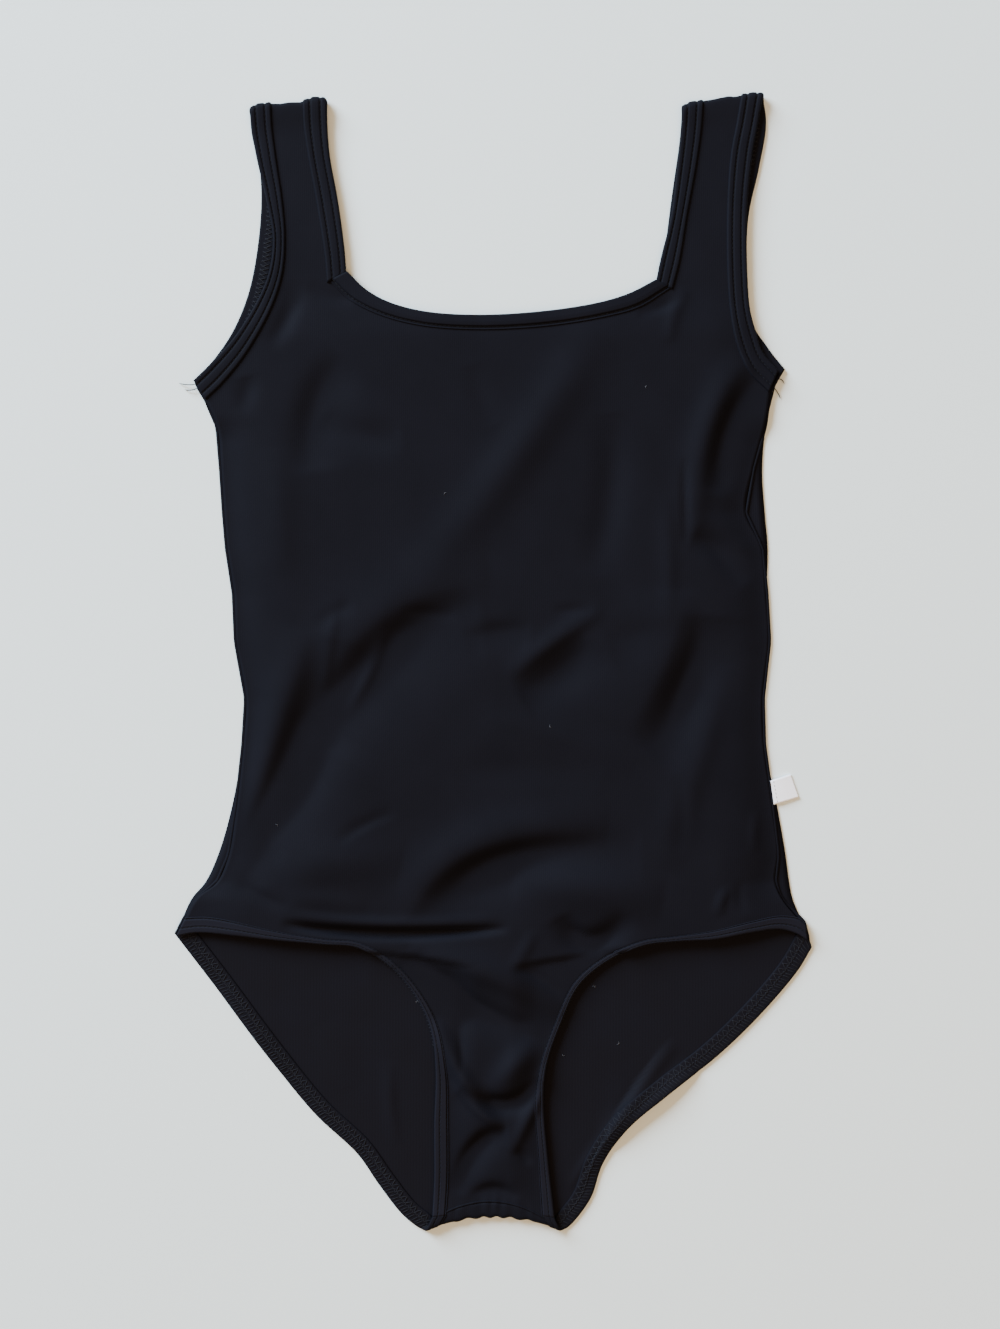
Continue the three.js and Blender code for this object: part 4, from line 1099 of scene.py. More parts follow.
def clouded(tree, place, colour, shade, size_mm, detail):
    """A colour that drifts to its shade in soft clouds."""
    noise = {"Scale": noise_scale(size_mm), "Detail": detail}
    clouds = add_node(tree, "ShaderNodeTexNoise", noise, {"Vector": place})
    tones, factor = {MIX_A: colour, MIX_B: shade}, {MIX_FACTOR: clouds.outputs["Fac"]}
    return add_node(tree, "ShaderNodeMix", tones, factor, data_type="RGBA").outputs[MIX_RESULT]


def jersey(name, colour, shade, roughness, sheen, wale_mm, relief_mm):
    """Warp-knit stretch jersey: fine upright wales, a fuzzy grain and soft cloudy unevenness."""
    material, tree, shader, place = new_material(
        name,
        {
            "Specular IOR Level": 0.03,
            "Sheen Weight": sheen,
            "Sheen Roughness": 0.5,
            "Sheen Tint": hex_colour("#aab4d2"),
        },
    )
    tone = clouded(tree, place, colour, shade, CLOTH_CLOUDS_MM, 3)
    grain = add_node(
        tree, "ShaderNodeTexNoise", {"Scale": noise_scale(YARN_FUZZ_MM), "Detail": 2}, {"Vector": place}
    )
    wales = add_node(
        tree,
        "ShaderNodeTexWave",
        {"Scale": wave_scale(wale_mm), "Distortion": 1.2, "Detail": 1, "Detail Scale": 0.6},
        {"Vector": place},
        bands_direction="X",
    )
    gloss = add_node(
        tree,
        "ShaderNodeMapRange",
        {"To Min": roughness - 0.05, "To Max": roughness + 0.07},
        {"Value": grain.outputs["Fac"]},
    )
    ribs = add_node(
        tree,
        "ShaderNodeBump",
        {"Strength": 0.5, "Distance": relief_mm * MM},
        {"Height": wales.outputs["Fac"]},
    )
    fuzz = add_node(
        tree,
        "ShaderNodeBump",
        {"Strength": 0.35, "Distance": FUZZ_RELIEF_MM * MM},
        {"Height": grain.outputs["Fac"], "Normal": ribs.outputs["Normal"]},
    )
    tree.links.new(tone, shader.inputs["Base Color"])
    tree.links.new(gloss.outputs["Result"], shader.inputs["Roughness"])
    tree.links.new(fuzz.outputs["Normal"], shader.inputs["Normal"])
    return material


def thread(name, colour):
    """Spun polyester sewing thread: matt, with a fine twist that breaks up its edge."""
    material, tree, shader, place = new_material(
        name, {"Base Color": colour, "Roughness": 0.7, "Specular IOR Level": 0.12, "Sheen Weight": 0.02}
    )
    twist = add_node(
        tree, "ShaderNodeTexNoise", {"Scale": noise_scale(TWIST_MM), "Detail": 1}, {"Vector": place}
    )
    bump = add_node(
        tree,
        "ShaderNodeBump",
        {"Strength": 0.4, "Distance": TWIST_RELIEF_MM * MM},
        {"Height": twist.outputs["Fac"]},
    )
    tree.links.new(bump.outputs["Normal"], shader.inputs["Normal"])
    return material


def ribbon(name, colour):
    """Woven satin ribbon: close floats across it give a soft gloss and a fine stripe."""
    material, tree, shader, place = new_material(
        name, {"Base Color": colour, "Roughness": 0.5, "Sheen Weight": 0.1}
    )
    floats = add_node(
        tree,
        "ShaderNodeTexWave",
        {"Scale": wave_scale(FLOAT_MM), "Distortion": 0.3},
        {"Vector": place},
        bands_direction="Y",
    )
    bump = add_node(
        tree,
        "ShaderNodeBump",
        {"Strength": 0.3, "Distance": FLOAT_RELIEF_MM * MM},
        {"Height": floats.outputs["Fac"]},
    )
    tree.links.new(bump.outputs["Normal"], shader.inputs["Normal"])
    return material


def painted_board(name, colour, shade):
    """Matt painted board: even, with a barely seen cloudiness and a soft tooth."""
    material, tree, shader, place = new_material(name, {"Roughness": 0.85, "Specular IOR Level": 0.2})
    tone = clouded(tree, place, colour, shade, PAINT_CLOUDS_MM, 2)
    tooth = add_node(
        tree, "ShaderNodeTexNoise", {"Scale": noise_scale(TOOTH_MM), "Detail": 2}, {"Vector": place}
    )
    bump = add_node(
        tree,
        "ShaderNodeBump",
        {"Strength": 0.15, "Distance": TOOTH_RELIEF_MM * MM},
        {"Height": tooth.outputs["Fac"]},
    )
    tree.links.new(tone, shader.inputs["Base Color"])
    tree.links.new(bump.outputs["Normal"], shader.inputs["Normal"])
    return material


# How much lighter the front casings are painted, a painted highlight for their rounded lip that faces
# the light, and the loop side's share of the sheen
CASING_PAINTED_HIGHLIGHT = 1.5
INSIDE_SHEEN = 0.6


def finish_of(name):
    """The garment's finishes, made once each from the colours in the panel."""
    made = bpy.data.materials.get(name)
    if made is not None:
        return made
    cloth = bpy.context.scene.leotard_cloth
    trim = bpy.context.scene.leotard_trim
    face = (*cloth.colour, 1), (*cloth.shade, 1)
    inside = (*cloth.inside, 1), (*cloth.inside_shade, 1)
    dull = cloth.sheen * INSIDE_SHEEN
    if name == "nylon_elastane_jersey_face":
        # the dull satin face of swim and dance jersey: a dark blue-black that greys on every ridge
        return jersey(name, *face, 0.68, cloth.sheen, FACE_WALE_MM, 0.04)
    if name == "nylon_elastane_jersey_back":
        # the loop side of the same cloth: flatter and warmer, with no satin on it
        return jersey(name, *inside, 0.7, dull, INSIDE_WALE_MM, 0.05)
    if name == "folded_jersey_binding":
        # the same cloth stretched over elastic: its wales lie closer and its relief is lower
        return jersey(name, *face, 0.7, cloth.sheen, STRETCHED_WALE_MM, 0.03)
    if name == "jersey_casing_painted_highlight":
        # painted highlight: the front casings' rounded lip faces the light, and its colour is painted a
        # tone lighter for it
        highlighted = [(*(c * CASING_PAINTED_HIGHLIGHT for c in tone[:3]), 1) for tone in face]
        return jersey(name, *highlighted, 0.64, cloth.sheen, STRETCHED_WALE_MM, 0.03)
    if name == "turned_back_jersey_casing":
        # the casing seen from inside: as flat and warm as the loop side under it
        return jersey(name, *inside, 0.74, dull, STRETCHED_WALE_MM, 0.03)
    if name == "black_polyester_thread":
        return thread(name, (*trim.thread_colour, 1))
    if name == "textured_nylon_thread":
        # bulked filament of the covering stitch: fluffier than sewing thread, so it greys a little
        return thread(name, (*trim.cover_colour, 1))
    if name == "white_polyester_thread":
        return thread(name, hex_colour("#64666c"))
    if name == "white_satin_ribbon":
        return ribbon(name, hex_colour("#f6f7ff"))
    raise ValueError(f"no finish is named {name}")


class LEOTARD_PG_cloth(bpy.types.PropertyGroup):
    colour: bpy.props.FloatVectorProperty(
        name="Face",
        description="Colour of the jersey's face",
        subtype="COLOR",
        default=hex_colour("#111117")[:3],
    )
    shade: bpy.props.FloatVectorProperty(
        name="Face shade",
        description="Its darker clouds",
        subtype="COLOR",
        default=hex_colour("#0d0d12")[:3],
    )
    inside: bpy.props.FloatVectorProperty(
        name="Inside",
        description="Colour of the loop side",
        subtype="COLOR",
        default=hex_colour("#111117")[:3],
    )
    inside_shade: bpy.props.FloatVectorProperty(
        name="Inside shade",
        description="Its darker clouds",
        subtype="COLOR",
        default=hex_colour("#100f13")[:3],
    )
    sheen: bpy.props.FloatProperty(
        name="Sheen", description="Soft light along ridges", default=0.01, min=0, max=1
    )
    thickness: bpy.props.FloatProperty(
        name="Cloth thickness",
        description="Thickness of one layer, in mm",
        default=0.75,
        min=0.4,
        max=1,
    )
    fold_strength: bpy.props.FloatProperty(
        name="Fold strength",
        description="Height of the folds against the real ones",
        default=1.0,
        min=0,
        max=1.5,
    )


class LEOTARD_PG_trim(bpy.types.PropertyGroup):
    thread_colour: bpy.props.FloatVectorProperty(
        name="Thread",
        description="Colour of the sewing thread",
        subtype="COLOR",
        default=hex_colour("#08080b")[:3],
    )
    cover_colour: bpy.props.FloatVectorProperty(
        name="Covering thread",
        description="Colour of the bulked thread",
        subtype="COLOR",
        default=hex_colour("#14151b")[:3],
    )
    thread_radius: bpy.props.FloatProperty(
        name="Thread radius",
        description="Radius of the sewing thread, in mm",
        default=0.2,
        min=0.1,
        max=0.4,
    )
    stitch: bpy.props.FloatProperty(
        name="Stitch length", description="Length of one stitch, in mm", default=2.4, min=1.5, max=4
    )


class LEOTARD_PG_stage(bpy.types.PropertyGroup):
    camera_height: bpy.props.FloatProperty(
        name="Camera height",
        description="Height above the table",
        default=1.15,
        min=0.5,
        max=3,
        unit="LENGTH",
    )
    key_power: bpy.props.FloatProperty(
        name="Window",
        description="Power of the large soft light, in watts",
        default=745,
        min=0,
        unit="POWER",
    )
    fill_power: bpy.props.FloatProperty(
        name="Ceiling",
        description="Power of the light that the ceiling throws back, in watts",
        default=80,
        min=0,
        unit="POWER",
    )


# The neckline band is sewn on last, over the ends of the strap bands
LAPPED_BAND = (BAND_RISE + 0.55, BAND_THICK / 2)


def strip_row(trim, surface, thickness, outside, outward=1):
    return {
        "line": TRIMS[trim],
        "surface": surface,
        "thickness": thickness,
        "outside": outside,
        "outward": outward,
    }


def band(trim, level=BAND, outside=binding_outside):
    return strip_row(trim, over_shoulder(level), BAND_THICK, outside)


def front_casing(trim):
    return strip_row(trim, over_shoulder(CASING), CASING_THICK, casing_outside)


def back_casing(trim):
    return strip_row(trim, round_crotch(CASING), CASING_THICK, casing_outside, -1)


# Every strip by its CAD node: outward is the side of its surface that is the garment's outside
STRIPS = {
    "neck_band_front": band("neckline", LAPPED_BAND, neckline_outside),
    "neck_band_back": band("neck"),
    "armhole_band_left": band("arm_left"),
    "armhole_band_right": band("arm_right"),
    "leg_casing_front_left": front_casing("leg_front_left"),
    "leg_casing_front_right": front_casing("leg_front_right"),
    "leg_casing_back_left": back_casing("leg_back_left"),
    "leg_casing_back_right": back_casing("leg_back_right"),
}

# Points of a strip's section on each side, how evenly they are spread over its width (at 0 they
# crowd at its edges), its edges' roundness against half its thickness, and its stations' distance
SECTION_POINTS = 38
SECTION_EVENNESS = 0.6
EDGE_ROUND = 1.1
STATION_MM = 1.2

# Gathers: spacing, height, slant over the width, how far and over what length they stray, and how
# they fade to the edges
GATHER_MM, GATHER_HEIGHT, GATHER_SLANT = 1.9, 0.1, 1.4
GATHER_STRAY, GATHER_STRAY_MM, GATHER_FADE = 0.35, 11, 0.7


def gathers(across, along, side):
    """Short slanting ripples on the inside of an elastic casing."""
    stray = GATHER_STRAY * np.sin(along / GATHER_STRAY_MM)
    ripple = np.sin(2 * math.pi * (along / GATHER_MM + GATHER_SLANT * across + stray))
    return np.where(side < 0, GATHER_HEIGHT * ripple * np.sin(math.pi * across) ** GATHER_FADE, 0)


def make_strip(name, finish, relief=None, station=STATION_MM):
    """A strip swept between its edge and its seam, in place of its CAD solid."""
    row = STRIPS[name]
    trim, half, outward = row["line"], row["thickness"] / 2, row["outward"]
    dense = np.linspace(0, 1, LENGTH_SAMPLES * 2)
    lengths = lengths_along(trim.at(dense, 0.5))
    along = np.linspace(0, lengths[-1], int(round(lengths[-1] / station)) + 1)
    t = np.interp(along, lengths, dense)
    crowded = (1 - np.cos(np.linspace(0, math.pi, SECTION_POINTS))) / 2
    u = mix(crowded, np.linspace(0, 1, SECTION_POINTS), SECTION_EVENNESS)
    across = np.r_[u, u[::-1][1:-1]]
    side = np.r_[np.ones(SECTION_POINTS), -np.ones(SECTION_POINTS - 2)]
    height = np.where(side > 0, row["outside"](across), -flat_inside(across)) * half
    height = height * round_edges(across[None], trim.width(t)[:, None], half * EDGE_ROUND)
    if relief is not None:
        height = height + relief(across[None], along[:, None], side[None])
    flat = trim.at(np.repeat(t[:, None], len(across), axis=1), np.broadcast_to(across, height.shape))
    rings, _ = placed(row["surface"], flat, outward * height)
    points, faces = ring_mesh(rings[:, ::-1] if outward > 0 else rings)
    made = new_object(name + "_cloth", points, faces, [finish_of(finish)])
    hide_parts(name)
    return made


class LEOTARD_OT_panels(bpy.types.Operator):
    """Make the front and back panels of jersey"""

    bl_idname = "leotard.panels"
    bl_label = "Panels"

    def execute(self, context):
        thickness = context.scene.leotard_cloth.thickness
        finishes = [finish_of("nylon_elastane_jersey_face"), finish_of("nylon_elastane_jersey_back")]
        front = cloth_panel("front_panel", front_blocks(), over_shoulder(PANEL), thickness, 1, finishes)
        back = cloth_panel("back_panel", back_blocks(), round_crotch(PANEL), thickness, -1, finishes)
        for piece, node in ((front, "front"), (back, "back")):
            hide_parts(node)
        return {"FINISHED"}


class LEOTARD_OT_bindings(bpy.types.Operator):
    """Make the bindings of the neckline, straps and armholes"""

    bl_idname = "leotard.bindings"
    bl_label = "Bindings"

    def execute(self, context):
        for name in STRIPS:
            if "band" in name:
                make_strip(name, "folded_jersey_binding")
        return {"FINISHED"}


class LEOTARD_OT_casings(bpy.types.Operator):
    """Make the elastic casings of the leg openings"""

    bl_idname = "leotard.casings"
    bl_label = "Leg casings"

    def execute(self, context):
        for name in STRIPS:
            if "casing_front" in name:
                # the front casings get the finish painted a tone lighter, a painted highlight on their
                # lip
                make_strip(name, "jersey_casing_painted_highlight")
            if "casing_back" in name:
                make_strip(name, "turned_back_jersey_casing", gathers, GATHER_MM / 4)
        return {"FINISHED"}


def on_outside(strip, extra):
    """Height over a strip's middle of what lies on its outside, by share of the width."""
    row = STRIPS[strip]
    return lambda across: row["outward"] * (row["outside"](across) * row["thickness"] / 2 + extra)


def on_inside(strip, extra):
    row = STRIPS[strip]
    return lambda across: -row["outward"] * (flat_inside(across) * row["thickness"] / 2 + extra)


# Height over a front casing's middle at which covering threads curl out under its free edge
under_edge = constant(-0.75)

# How far threads stand out of the cloth against their radius, and how thick covering threads are
THREAD_OUT, COVER_OUT, COVER_RADIUS = 0.5, 0.4, 1.15


class LEOTARD_OT_stitches(bpy.types.Operator):
    """Sew the bindings and casings: twin needle rows outside, covering threads inside"""

    bl_idname = "leotard.stitches"
    bl_label = "Stitches"

    def execute(self, context):
        trim = context.scene.leotard_trim
        radius, pitch = trim.thread_radius, trim.stitch
        for strip, row in STRIPS.items():
            line, surface, grooves = row["line"], row["surface"], CASING_GROOVES
            outer, inner = on_outside(strip, radius * THREAD_OUT), on_inside(strip, radius * COVER_OUT)

            def crossed(shares, height_of, every, lean, **more):
                return crossing_row(line, surface, shares, height_of, every, lean, **more)

            if strip == "neck_band_front":
                grooves = (NECKLINE_GROOVE,)
                cover = [crossed((0.5, 0.85), inner, pitch / 2, 1.6, turns=True)]
            elif "band" in strip:
                grooves = BINDING_GROOVES
                cover = [crossed(BINDING_GROOVES, inner, pitch / 2, 2.4, turns=True, seed=len(strip))]
            elif "casing_front" in strip:
                # the covering threads curl over the free edge and show under it
                cover = [crossed((-0.16, 0.2), under_edge, GATHER_MM, 1.0, span=(0.3, 0.7))]
            else:
                cover = [
                    crossed((0.1, 0.5), inner, GATHER_MM, 1.2, seed=3),
                    crossed((0.54, 0.92), inner, GATHER_MM, 1.9, turns=True, seed=4),
                    crossed((0.5, 0.62), inner, GATHER_MM / 2, 1.1, turns=True, seed=5),
                ]
            thick = radius * COVER_RADIUS
            covering = thread_object(strip + "_cover_threads", cover, thick, "textured_nylon_thread")
            rows = [stitch_row(line, surface, groove, outer, pitch) for groove in grooves]
            made = thread_object(strip + "_stitches", rows, radius, "black_polyester_thread")
        return {"FINISHED"}


# Where the side seams lie: height, how far past the front's side, their ends, and the way they face
SEAM_LEVEL = 1.05
SEAM_OUT = 0.3
HIP_TO_UNDERARM = (-134, 141)
SEAM_FACES = (0.6, 0.8)
ACROSS_STRIP = np.linspace(0.08, 1, 7)

# Half width and half height of the seams' ribs, and how they lie on the panel
SIDE_RIB, SHOULDER_RIB, CROTCH_RIB = (0.95, 0.8), (0.8, 0.4), (0.6, 0.4)
SHOULDER_RISE, CROTCH_RISE, CROTCH_BELOW = 0.1, 0.35, 0.2

# Points of the seams' paths
SIDE_STEP, SIDE_POINT_STEP, SHOULDER_STEPS, CROTCH_POINTS = 4, 1.6, 30, 60


def strip_end(strip, t):
    """Points across the end of a strip, from its free edge to its seam."""
    row = STRIPS[strip]
    flat = row["line"].at(np.full(len(ACROSS_STRIP), t), ACROSS_STRIP)
    return row["surface"](flat[:, 0], flat[:, 1])


def side_seam(side):
    """Path of a side seam, from the leg's edge up the side and on through the armhole band."""
    low = (strip_end(f"leg_casing_front_{side}", 0) + strip_end(f"leg_casing_back_{side}", 0)) / 2
    high = (strip_end(f"armhole_band_{side}", 0) + strip_end(f"armhole_band_{side}", 1)) / 2
    y = np.arange(*HIP_TO_UNDERARM, SIDE_STEP)
    outward = -1 if side == "left" else 1
    x = side_at("front" + side.capitalize(), y) + outward * SEAM_OUT
    middle = np.stack([x, y, np.full(len(y), SEAM_LEVEL)], axis=-1)
    path = evened(np.vstack([low, middle, high[::-1]]), SIDE_POINT_STEP)
    return path, np.broadcast_to((outward * SEAM_FACES[0], 0, SEAM_FACES[1]), path.shape)


def strap_seam(arm, neck):
    """Path of a shoulder seam across the back of a strap, from band to band."""
    ends = [t.tucked(reach(t.tucked, past_shoulder, PAST_SHOULDER, *span)) for t, span in (arm, neck)]
    flat = between(*ends, SHOULDER_STEPS)
    flat[:, 1] = shoulder_line(flat[:, 0]) + PAST_SHOULDER
    return placed(over_shoulder(PANEL), flat, SHOULDER_RISE)


def seam_of_crotch():
    ends = [TRIMS[f"leg_front_{side}"].tucked(1)[0] for side in ("left", "right")]
    x = np.linspace(*ends, CROTCH_POINTS)
    flat = np.stack([x, crotch_seam(x) - CROTCH_BELOW], axis=-1)
    return placed(over_shoulder(PANEL), flat, CROTCH_RISE)


class LEOTARD_OT_seams(bpy.types.Operator):
    """Make the raised seams at the sides, shoulders and crotch"""

    bl_idname = "leotard.seams"
    bl_label = "Seams"

    def execute(self, context):
        for side in ("left", "right"):
            rib = rib_rings(*side_seam(side), *SIDE_RIB)
            rib_object(f"side_seam_{side}", [rib], "folded_jersey_binding")
        neck = TRIMS["neck"]
        straps = [
            strap_seam((TRIMS["arm_left"], (0, 1)), (neck, (0, 0.5))),
            strap_seam((neck, (1, 0.5)), (TRIMS["arm_right"], (0, 1))),
        ]
        ribs = [rib_rings(*path, *SHOULDER_RIB) for path in straps]
        rib_object("shoulder_seams", ribs, "folded_jersey_binding")
        ribs = [rib_rings(*seam_of_crotch(), *CROTCH_RIB)]
        rib_object("crotch_seam", ribs, "folded_jersey_binding")
        return {"FINISHED"}


# The label's corners on the flat, seam end first, low and high, and the lay of its two layers
LABEL_SEAM = ((152.3, -76.9), (150.4, -63.9))
LABEL_FOLD = ((165.9, -73.0), (161.4, -60.4))
LABEL_LAYERS = (0.95, 1.5)
LABEL_LENGTH = 13
LABEL_FALL = 0.55
LABEL_BOW, LABEL_BOW_LOW, LABEL_BOW_MORE = 0.35, 0.7, 0.5
LABEL_CLOTH = 0.22
LABEL_STEPS, LABEL_TURN_STEPS = (18, 14), 9
SELVEDGE, SELVEDGE_WIDE = 0.7, 0.05

# The label's stitches: where they start and end across it and how many, the step of its length at
# which they lie, their length as a share of its width, their height over it, and their radius
LABEL_STITCHES, LABEL_STITCH_STEP = (0.1, 0.9, 6), 3
LABEL_STITCH, LABEL_STITCH_OUT, LABEL_THREAD = 0.11, 0.12, 0.14


class LEOTARD_OT_label(bpy.types.Operator):
    """Make the folded ribbon label in the side seam"""

    bl_idname = "leotard.label"
    bl_label = "Label"

    def bow(self, length, across):
        """How the ribbon bows up off a straight lay, more towards its upper edge."""
        return LABEL_BOW * np.sin(math.pi * length) * (LABEL_BOW_LOW + LABEL_BOW_MORE * across)

    def execute(self, context):
        steps, columns = LABEL_STEPS
        layer = (LABEL_LAYERS[1] - LABEL_LAYERS[0]) / 2
        turn = np.linspace(-math.pi / 2, math.pi / 2, LABEL_TURN_STEPS)[1:-1]
        out = np.linspace(0, 1, steps)
        length = np.r_[out, 1 + np.cos(turn) * layer / LABEL_LENGTH, out[::-1]]
        rise = np.r_[np.full(steps, -layer), np.sin(turn) * layer, np.full(steps, layer)]
        corners = zip(np.array(LABEL_SEAM), np.array(LABEL_FOLD))
        low, high = (mix(seam, fold, length[:, None]) for seam, fold in corners)
        across = np.linspace(0, 1, columns)
        flat = low[:, None] + (high - low)[:, None] * across[None, :, None]
        before_fold = np.clip(length, 0, 1)[:, None]
        z = sum(LABEL_LAYERS) / 2 + rise[:, None] + self.bow(before_fold, across)
        z -= LABEL_FALL * before_fold
        sheet = np.concatenate([flat, z[..., None]], axis=-1)
        normal = unit(np.cross(np.gradient(sheet, axis=0), np.gradient(sheet, axis=1)))
        # selvedges of the ribbon are a little thicker than its middle
        edge = 1 + SELVEDGE * (bell(across, SELVEDGE_WIDE) + bell(1 - across, SELVEDGE_WIDE))
        half = LABEL_CLOTH / 2 * edge[None, :, None] * normal
        rings = np.concatenate([sheet + half, (sheet - half)[:, ::-1]], axis=1)
        points, faces = ring_mesh(rings)
        label = new_object("label_ribbon", points, faces, [finish_of("white_satin_ribbon")])
        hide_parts("side_label")
        # a row of white stitches near the seam holds its two layers together
        at = np.linspace(*LABEL_STITCHES)[:, None] + THREAD_STATIONS[None] * LABEL_STITCH
        path = mix(low[LABEL_STITCH_STEP], high[LABEL_STITCH_STEP], at[..., None])
        sewn = out[LABEL_STITCH_STEP]
        top = LABEL_LAYERS[1] + LABEL_STITCH_OUT - LABEL_FALL * sewn + self.bow(sewn, at)
        paths = np.concatenate([path, (top + DIP)[..., None]], axis=-1)
        row = (paths, np.broadcast_to((0, 0, 1), paths.shape))
        thread_object("label_stitches", [row], LABEL_THREAD, "white_polyester_thread")
        return {"FINISHED"}


# Loose ends of thread at the underarms: start, bend and end in mm, with heights
TAILS = (
    ((-161.6, 152.0, 2.2), (-166.0, 151.0, 2.8), (-171.4, 152.6, 0.6)),
    ((-160.4, 150.2, 2.0), (-164.4, 147.8, 2.4), (-168.2, 149.2, 0.5)),
    ((152.8, 154.2, 2.2), (156.6, 156.0, 3.0), (158.4, 152.4, 0.5)),
    ((151.6, 151.0, 2.0), (154.4, 148.4, 2.6), (156.4, 144.2, 0.5)),
)
TAIL_STEPS, TAIL_SIZE, TAIL_FACES = 13, (0.24, 0.22), (0.1, 0.2, 1)

# White fibres that the cloth has picked up: place and way in mm, and how far each bends
LINT = (
    (-41.4, -184.6, 1.6, 0.9, 0.5),
    (54.6, -176.2, 1.4, -0.9, 0.5),
    (67.6, -206.6, 0.9, 1.4, -0.5),
    (38.2, -213.0, -1.3, 0.7, 0.4),
    (-26.0, 92.0, 1.0, 1.1, 0.5),
    (31.0, -34.0, -0.9, 1.2, 0.4),
    (83.0, 150.0, 0.5, 1.4, 0.4),
    (-118.0, -88.0, 1.0, -1.0, 0.4),
)
LINT_OUT, LINT_RADIUS = 0.1, 0.07
# They lie on the back where they are in the leg openings: below this level, this far from the middle
LEG_OPENINGS_BELOW, CROTCH_WIDE = -160, 30


class LEOTARD_OT_fibres(bpy.types.Operator):
    """Add the loose thread ends at the underarms and a few specks of lint"""

    bl_idname = "leotard.fibres"
    bl_label = "Thread ends and lint"

    def execute(self, context):
        paths = [bent_line(*places, TAIL_STEPS) for places in TAILS]
        tails = [rib_rings(p, np.broadcast_to(TAIL_FACES, p.shape), *TAIL_SIZE) for p in paths]
        rib_object("thread_ends", tails, "black_polyester_thread")
        x, y, over_x, over_y, bend = np.array(LINT).T[:, :, None]
        s = THREAD_STATIONS[None]
        arc = bend * (0.25 - s**2) * 4
        flat = np.stack([x + over_x * s - over_y * arc, y + over_y * s + over_x * arc], axis=-1)
        on_back = (np.abs(x[:, 0]) > CROTCH_WIDE) & (y[:, 0] < LEG_OPENINGS_BELOW)
        layers = ((~on_back, over_shoulder(PANEL)), (on_back, round_crotch(PANEL)))
        rows = [placed(surface, flat[keep], CLOTH / 2 + LINT_OUT) for keep, surface in layers]
        thread_object("lint", rows, LINT_RADIUS, "white_polyester_thread")
        return {"FINISHED"}


# Camera over the middle of the photograph: millimetres for one of its pixels, and where it looks
MM_PER_PIXEL = 0.545
PICTURE = (1000, 1329)
LOOKS_AT = (3.54, -0.55)
SENSOR = 36

# Lights: place and size in metres, and colour. The window is cool; the ceiling throws back warm light
WINDOW = ((-2.7, 2.5, 1.8), 2.2, "#d8ecff")
CEILING = ((0.4, -0.7, 2.8), 2.8, "#fccb92")
ROOM_COLOUR, ROOM_STRENGTH = "#f6ead6", 0.42
TABLE_HALF, TABLE_STEPS = 5, 8


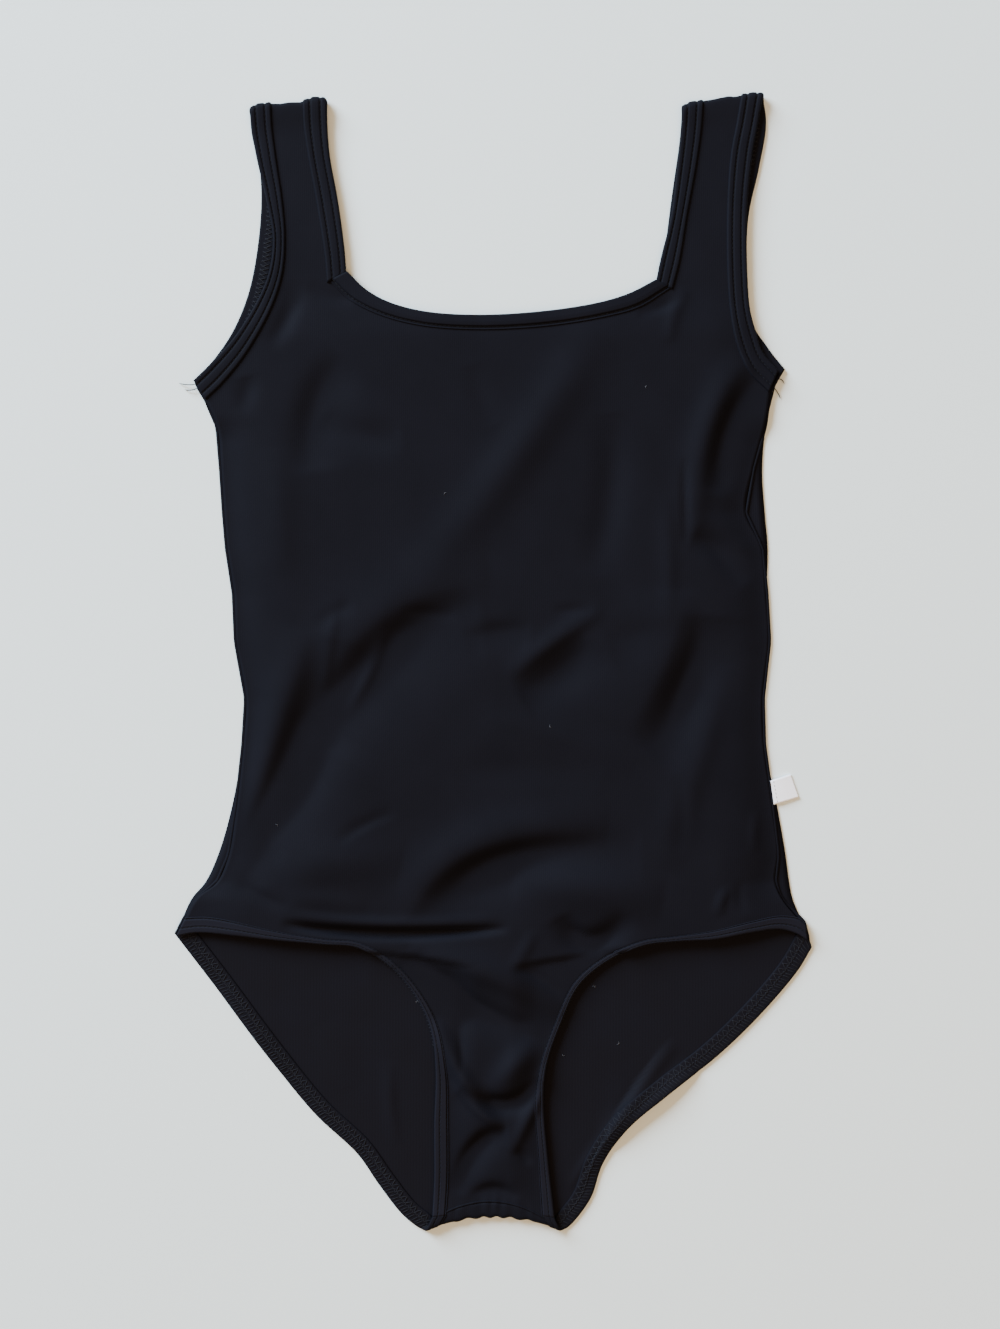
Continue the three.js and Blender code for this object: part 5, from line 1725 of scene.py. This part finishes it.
class LEOTARD_OT_stage(bpy.types.Operator):
    """Make the table top, the soft lights and the camera"""

    bl_idname = "leotard.stage"
    bl_label = "Stage"

    def execute(self, context):
        stage = context.scene.leotard_stage
        self.floor()
        self.light("window", *WINDOW, stage.key_power)
        self.light("ceiling", *CEILING, stage.fill_power)
        world = bpy.data.worlds.new("room")
        world.use_nodes = True
        background = world.node_tree.nodes["Background"]
        background.inputs["Color"].default_value = hex_colour(ROOM_COLOUR)
        background.inputs["Strength"].default_value = ROOM_STRENGTH
        context.scene.world = world
        data = bpy.data.cameras.new("camera")
        data.sensor_width = SENSOR
        data.lens = SENSOR * stage.camera_height / (PICTURE[1] * MM_PER_PIXEL * MM)
        camera = bpy.data.objects.new("camera", data)
        camera.location = (LOOKS_AT[0] * MM, LOOKS_AT[1] * MM, stage.camera_height)
        context.scene.collection.objects.link(camera)
        context.scene.camera = camera
        return {"FINISHED"}

    def floor(self):
        line = np.linspace(-TABLE_HALF, TABLE_HALF, TABLE_STEPS + 1)
        points = [(x, y, 0) for y in line for x in line]
        mesh = bpy.data.meshes.new("table_top")
        mesh.from_pydata(points, [], grid_quads(len(line), len(line)).tolist())
        # matt off-white board: a cool grey where it is lit by the window
        board = painted_board("matt_painted_board", hex_colour("#dfe9e9"), hex_colour("#dbe5e5"))
        mesh.materials.append(board)
        table = bpy.data.objects.new("table_top", mesh)
        bpy.context.scene.collection.objects.link(table)

    def light(self, name, place, size, colour, power):
        data = bpy.data.lights.new(name, "AREA")
        data.shape = "SQUARE"
        data.size = size
        data.energy = power
        data.color = hex_colour(colour)[:3]
        made = bpy.data.objects.new(name, data)
        made.location = place
        way = unit(-np.array(place))
        made.rotation_euler = (math.acos(-way[2]), 0, math.atan2(way[0], -way[1]) + math.pi)
        bpy.context.scene.collection.objects.link(made)


class LEOTARD_PT_panel(bpy.types.Panel):
    """The leotard's sizes, colours and pieces in the sidebar"""

    bl_label = "Leotard"
    bl_idname = "LEOTARD_PT_panel"
    bl_space_type = "VIEW_3D"
    bl_region_type = "UI"
    bl_category = "Leotard"

    def draw(self, context):
        for group_name in GROUPS:
            group, box = getattr(context.scene, group_name), self.layout.box()
            for name in group.bl_rna.properties.keys():
                if name not in ("rna_type", "name"):
                    box.prop(group, name)
        for operator in OPERATORS:
            self.layout.operator(operator.bl_idname)


GROUPS = {
    "leotard_cloth": LEOTARD_PG_cloth,
    "leotard_trim": LEOTARD_PG_trim,
    "leotard_stage": LEOTARD_PG_stage,
}
OPERATORS = (
    LEOTARD_OT_panels,
    LEOTARD_OT_bindings,
    LEOTARD_OT_casings,
    LEOTARD_OT_seams,
    LEOTARD_OT_stitches,
    LEOTARD_OT_label,
    LEOTARD_OT_fibres,
    LEOTARD_OT_stage,
)


def register():
    for group in (*GROUPS.values(), *OPERATORS, LEOTARD_PT_panel):
        bpy.utils.register_class(group)
    for name, group in GROUPS.items():
        setattr(bpy.types.Scene, name, bpy.props.PointerProperty(type=group))


def unregister():
    for name in GROUPS:
        delattr(bpy.types.Scene, name)
    for group in (LEOTARD_PT_panel, *reversed(OPERATORS), *GROUPS.values()):
        bpy.utils.unregister_class(group)


def main():
    register()
    for operator in OPERATORS:
        group, name = operator.bl_idname.split(".")
        getattr(getattr(bpy.ops, group), name)()
    bpy.context.view_layer.update()


if __name__ == "__main__":
    main()
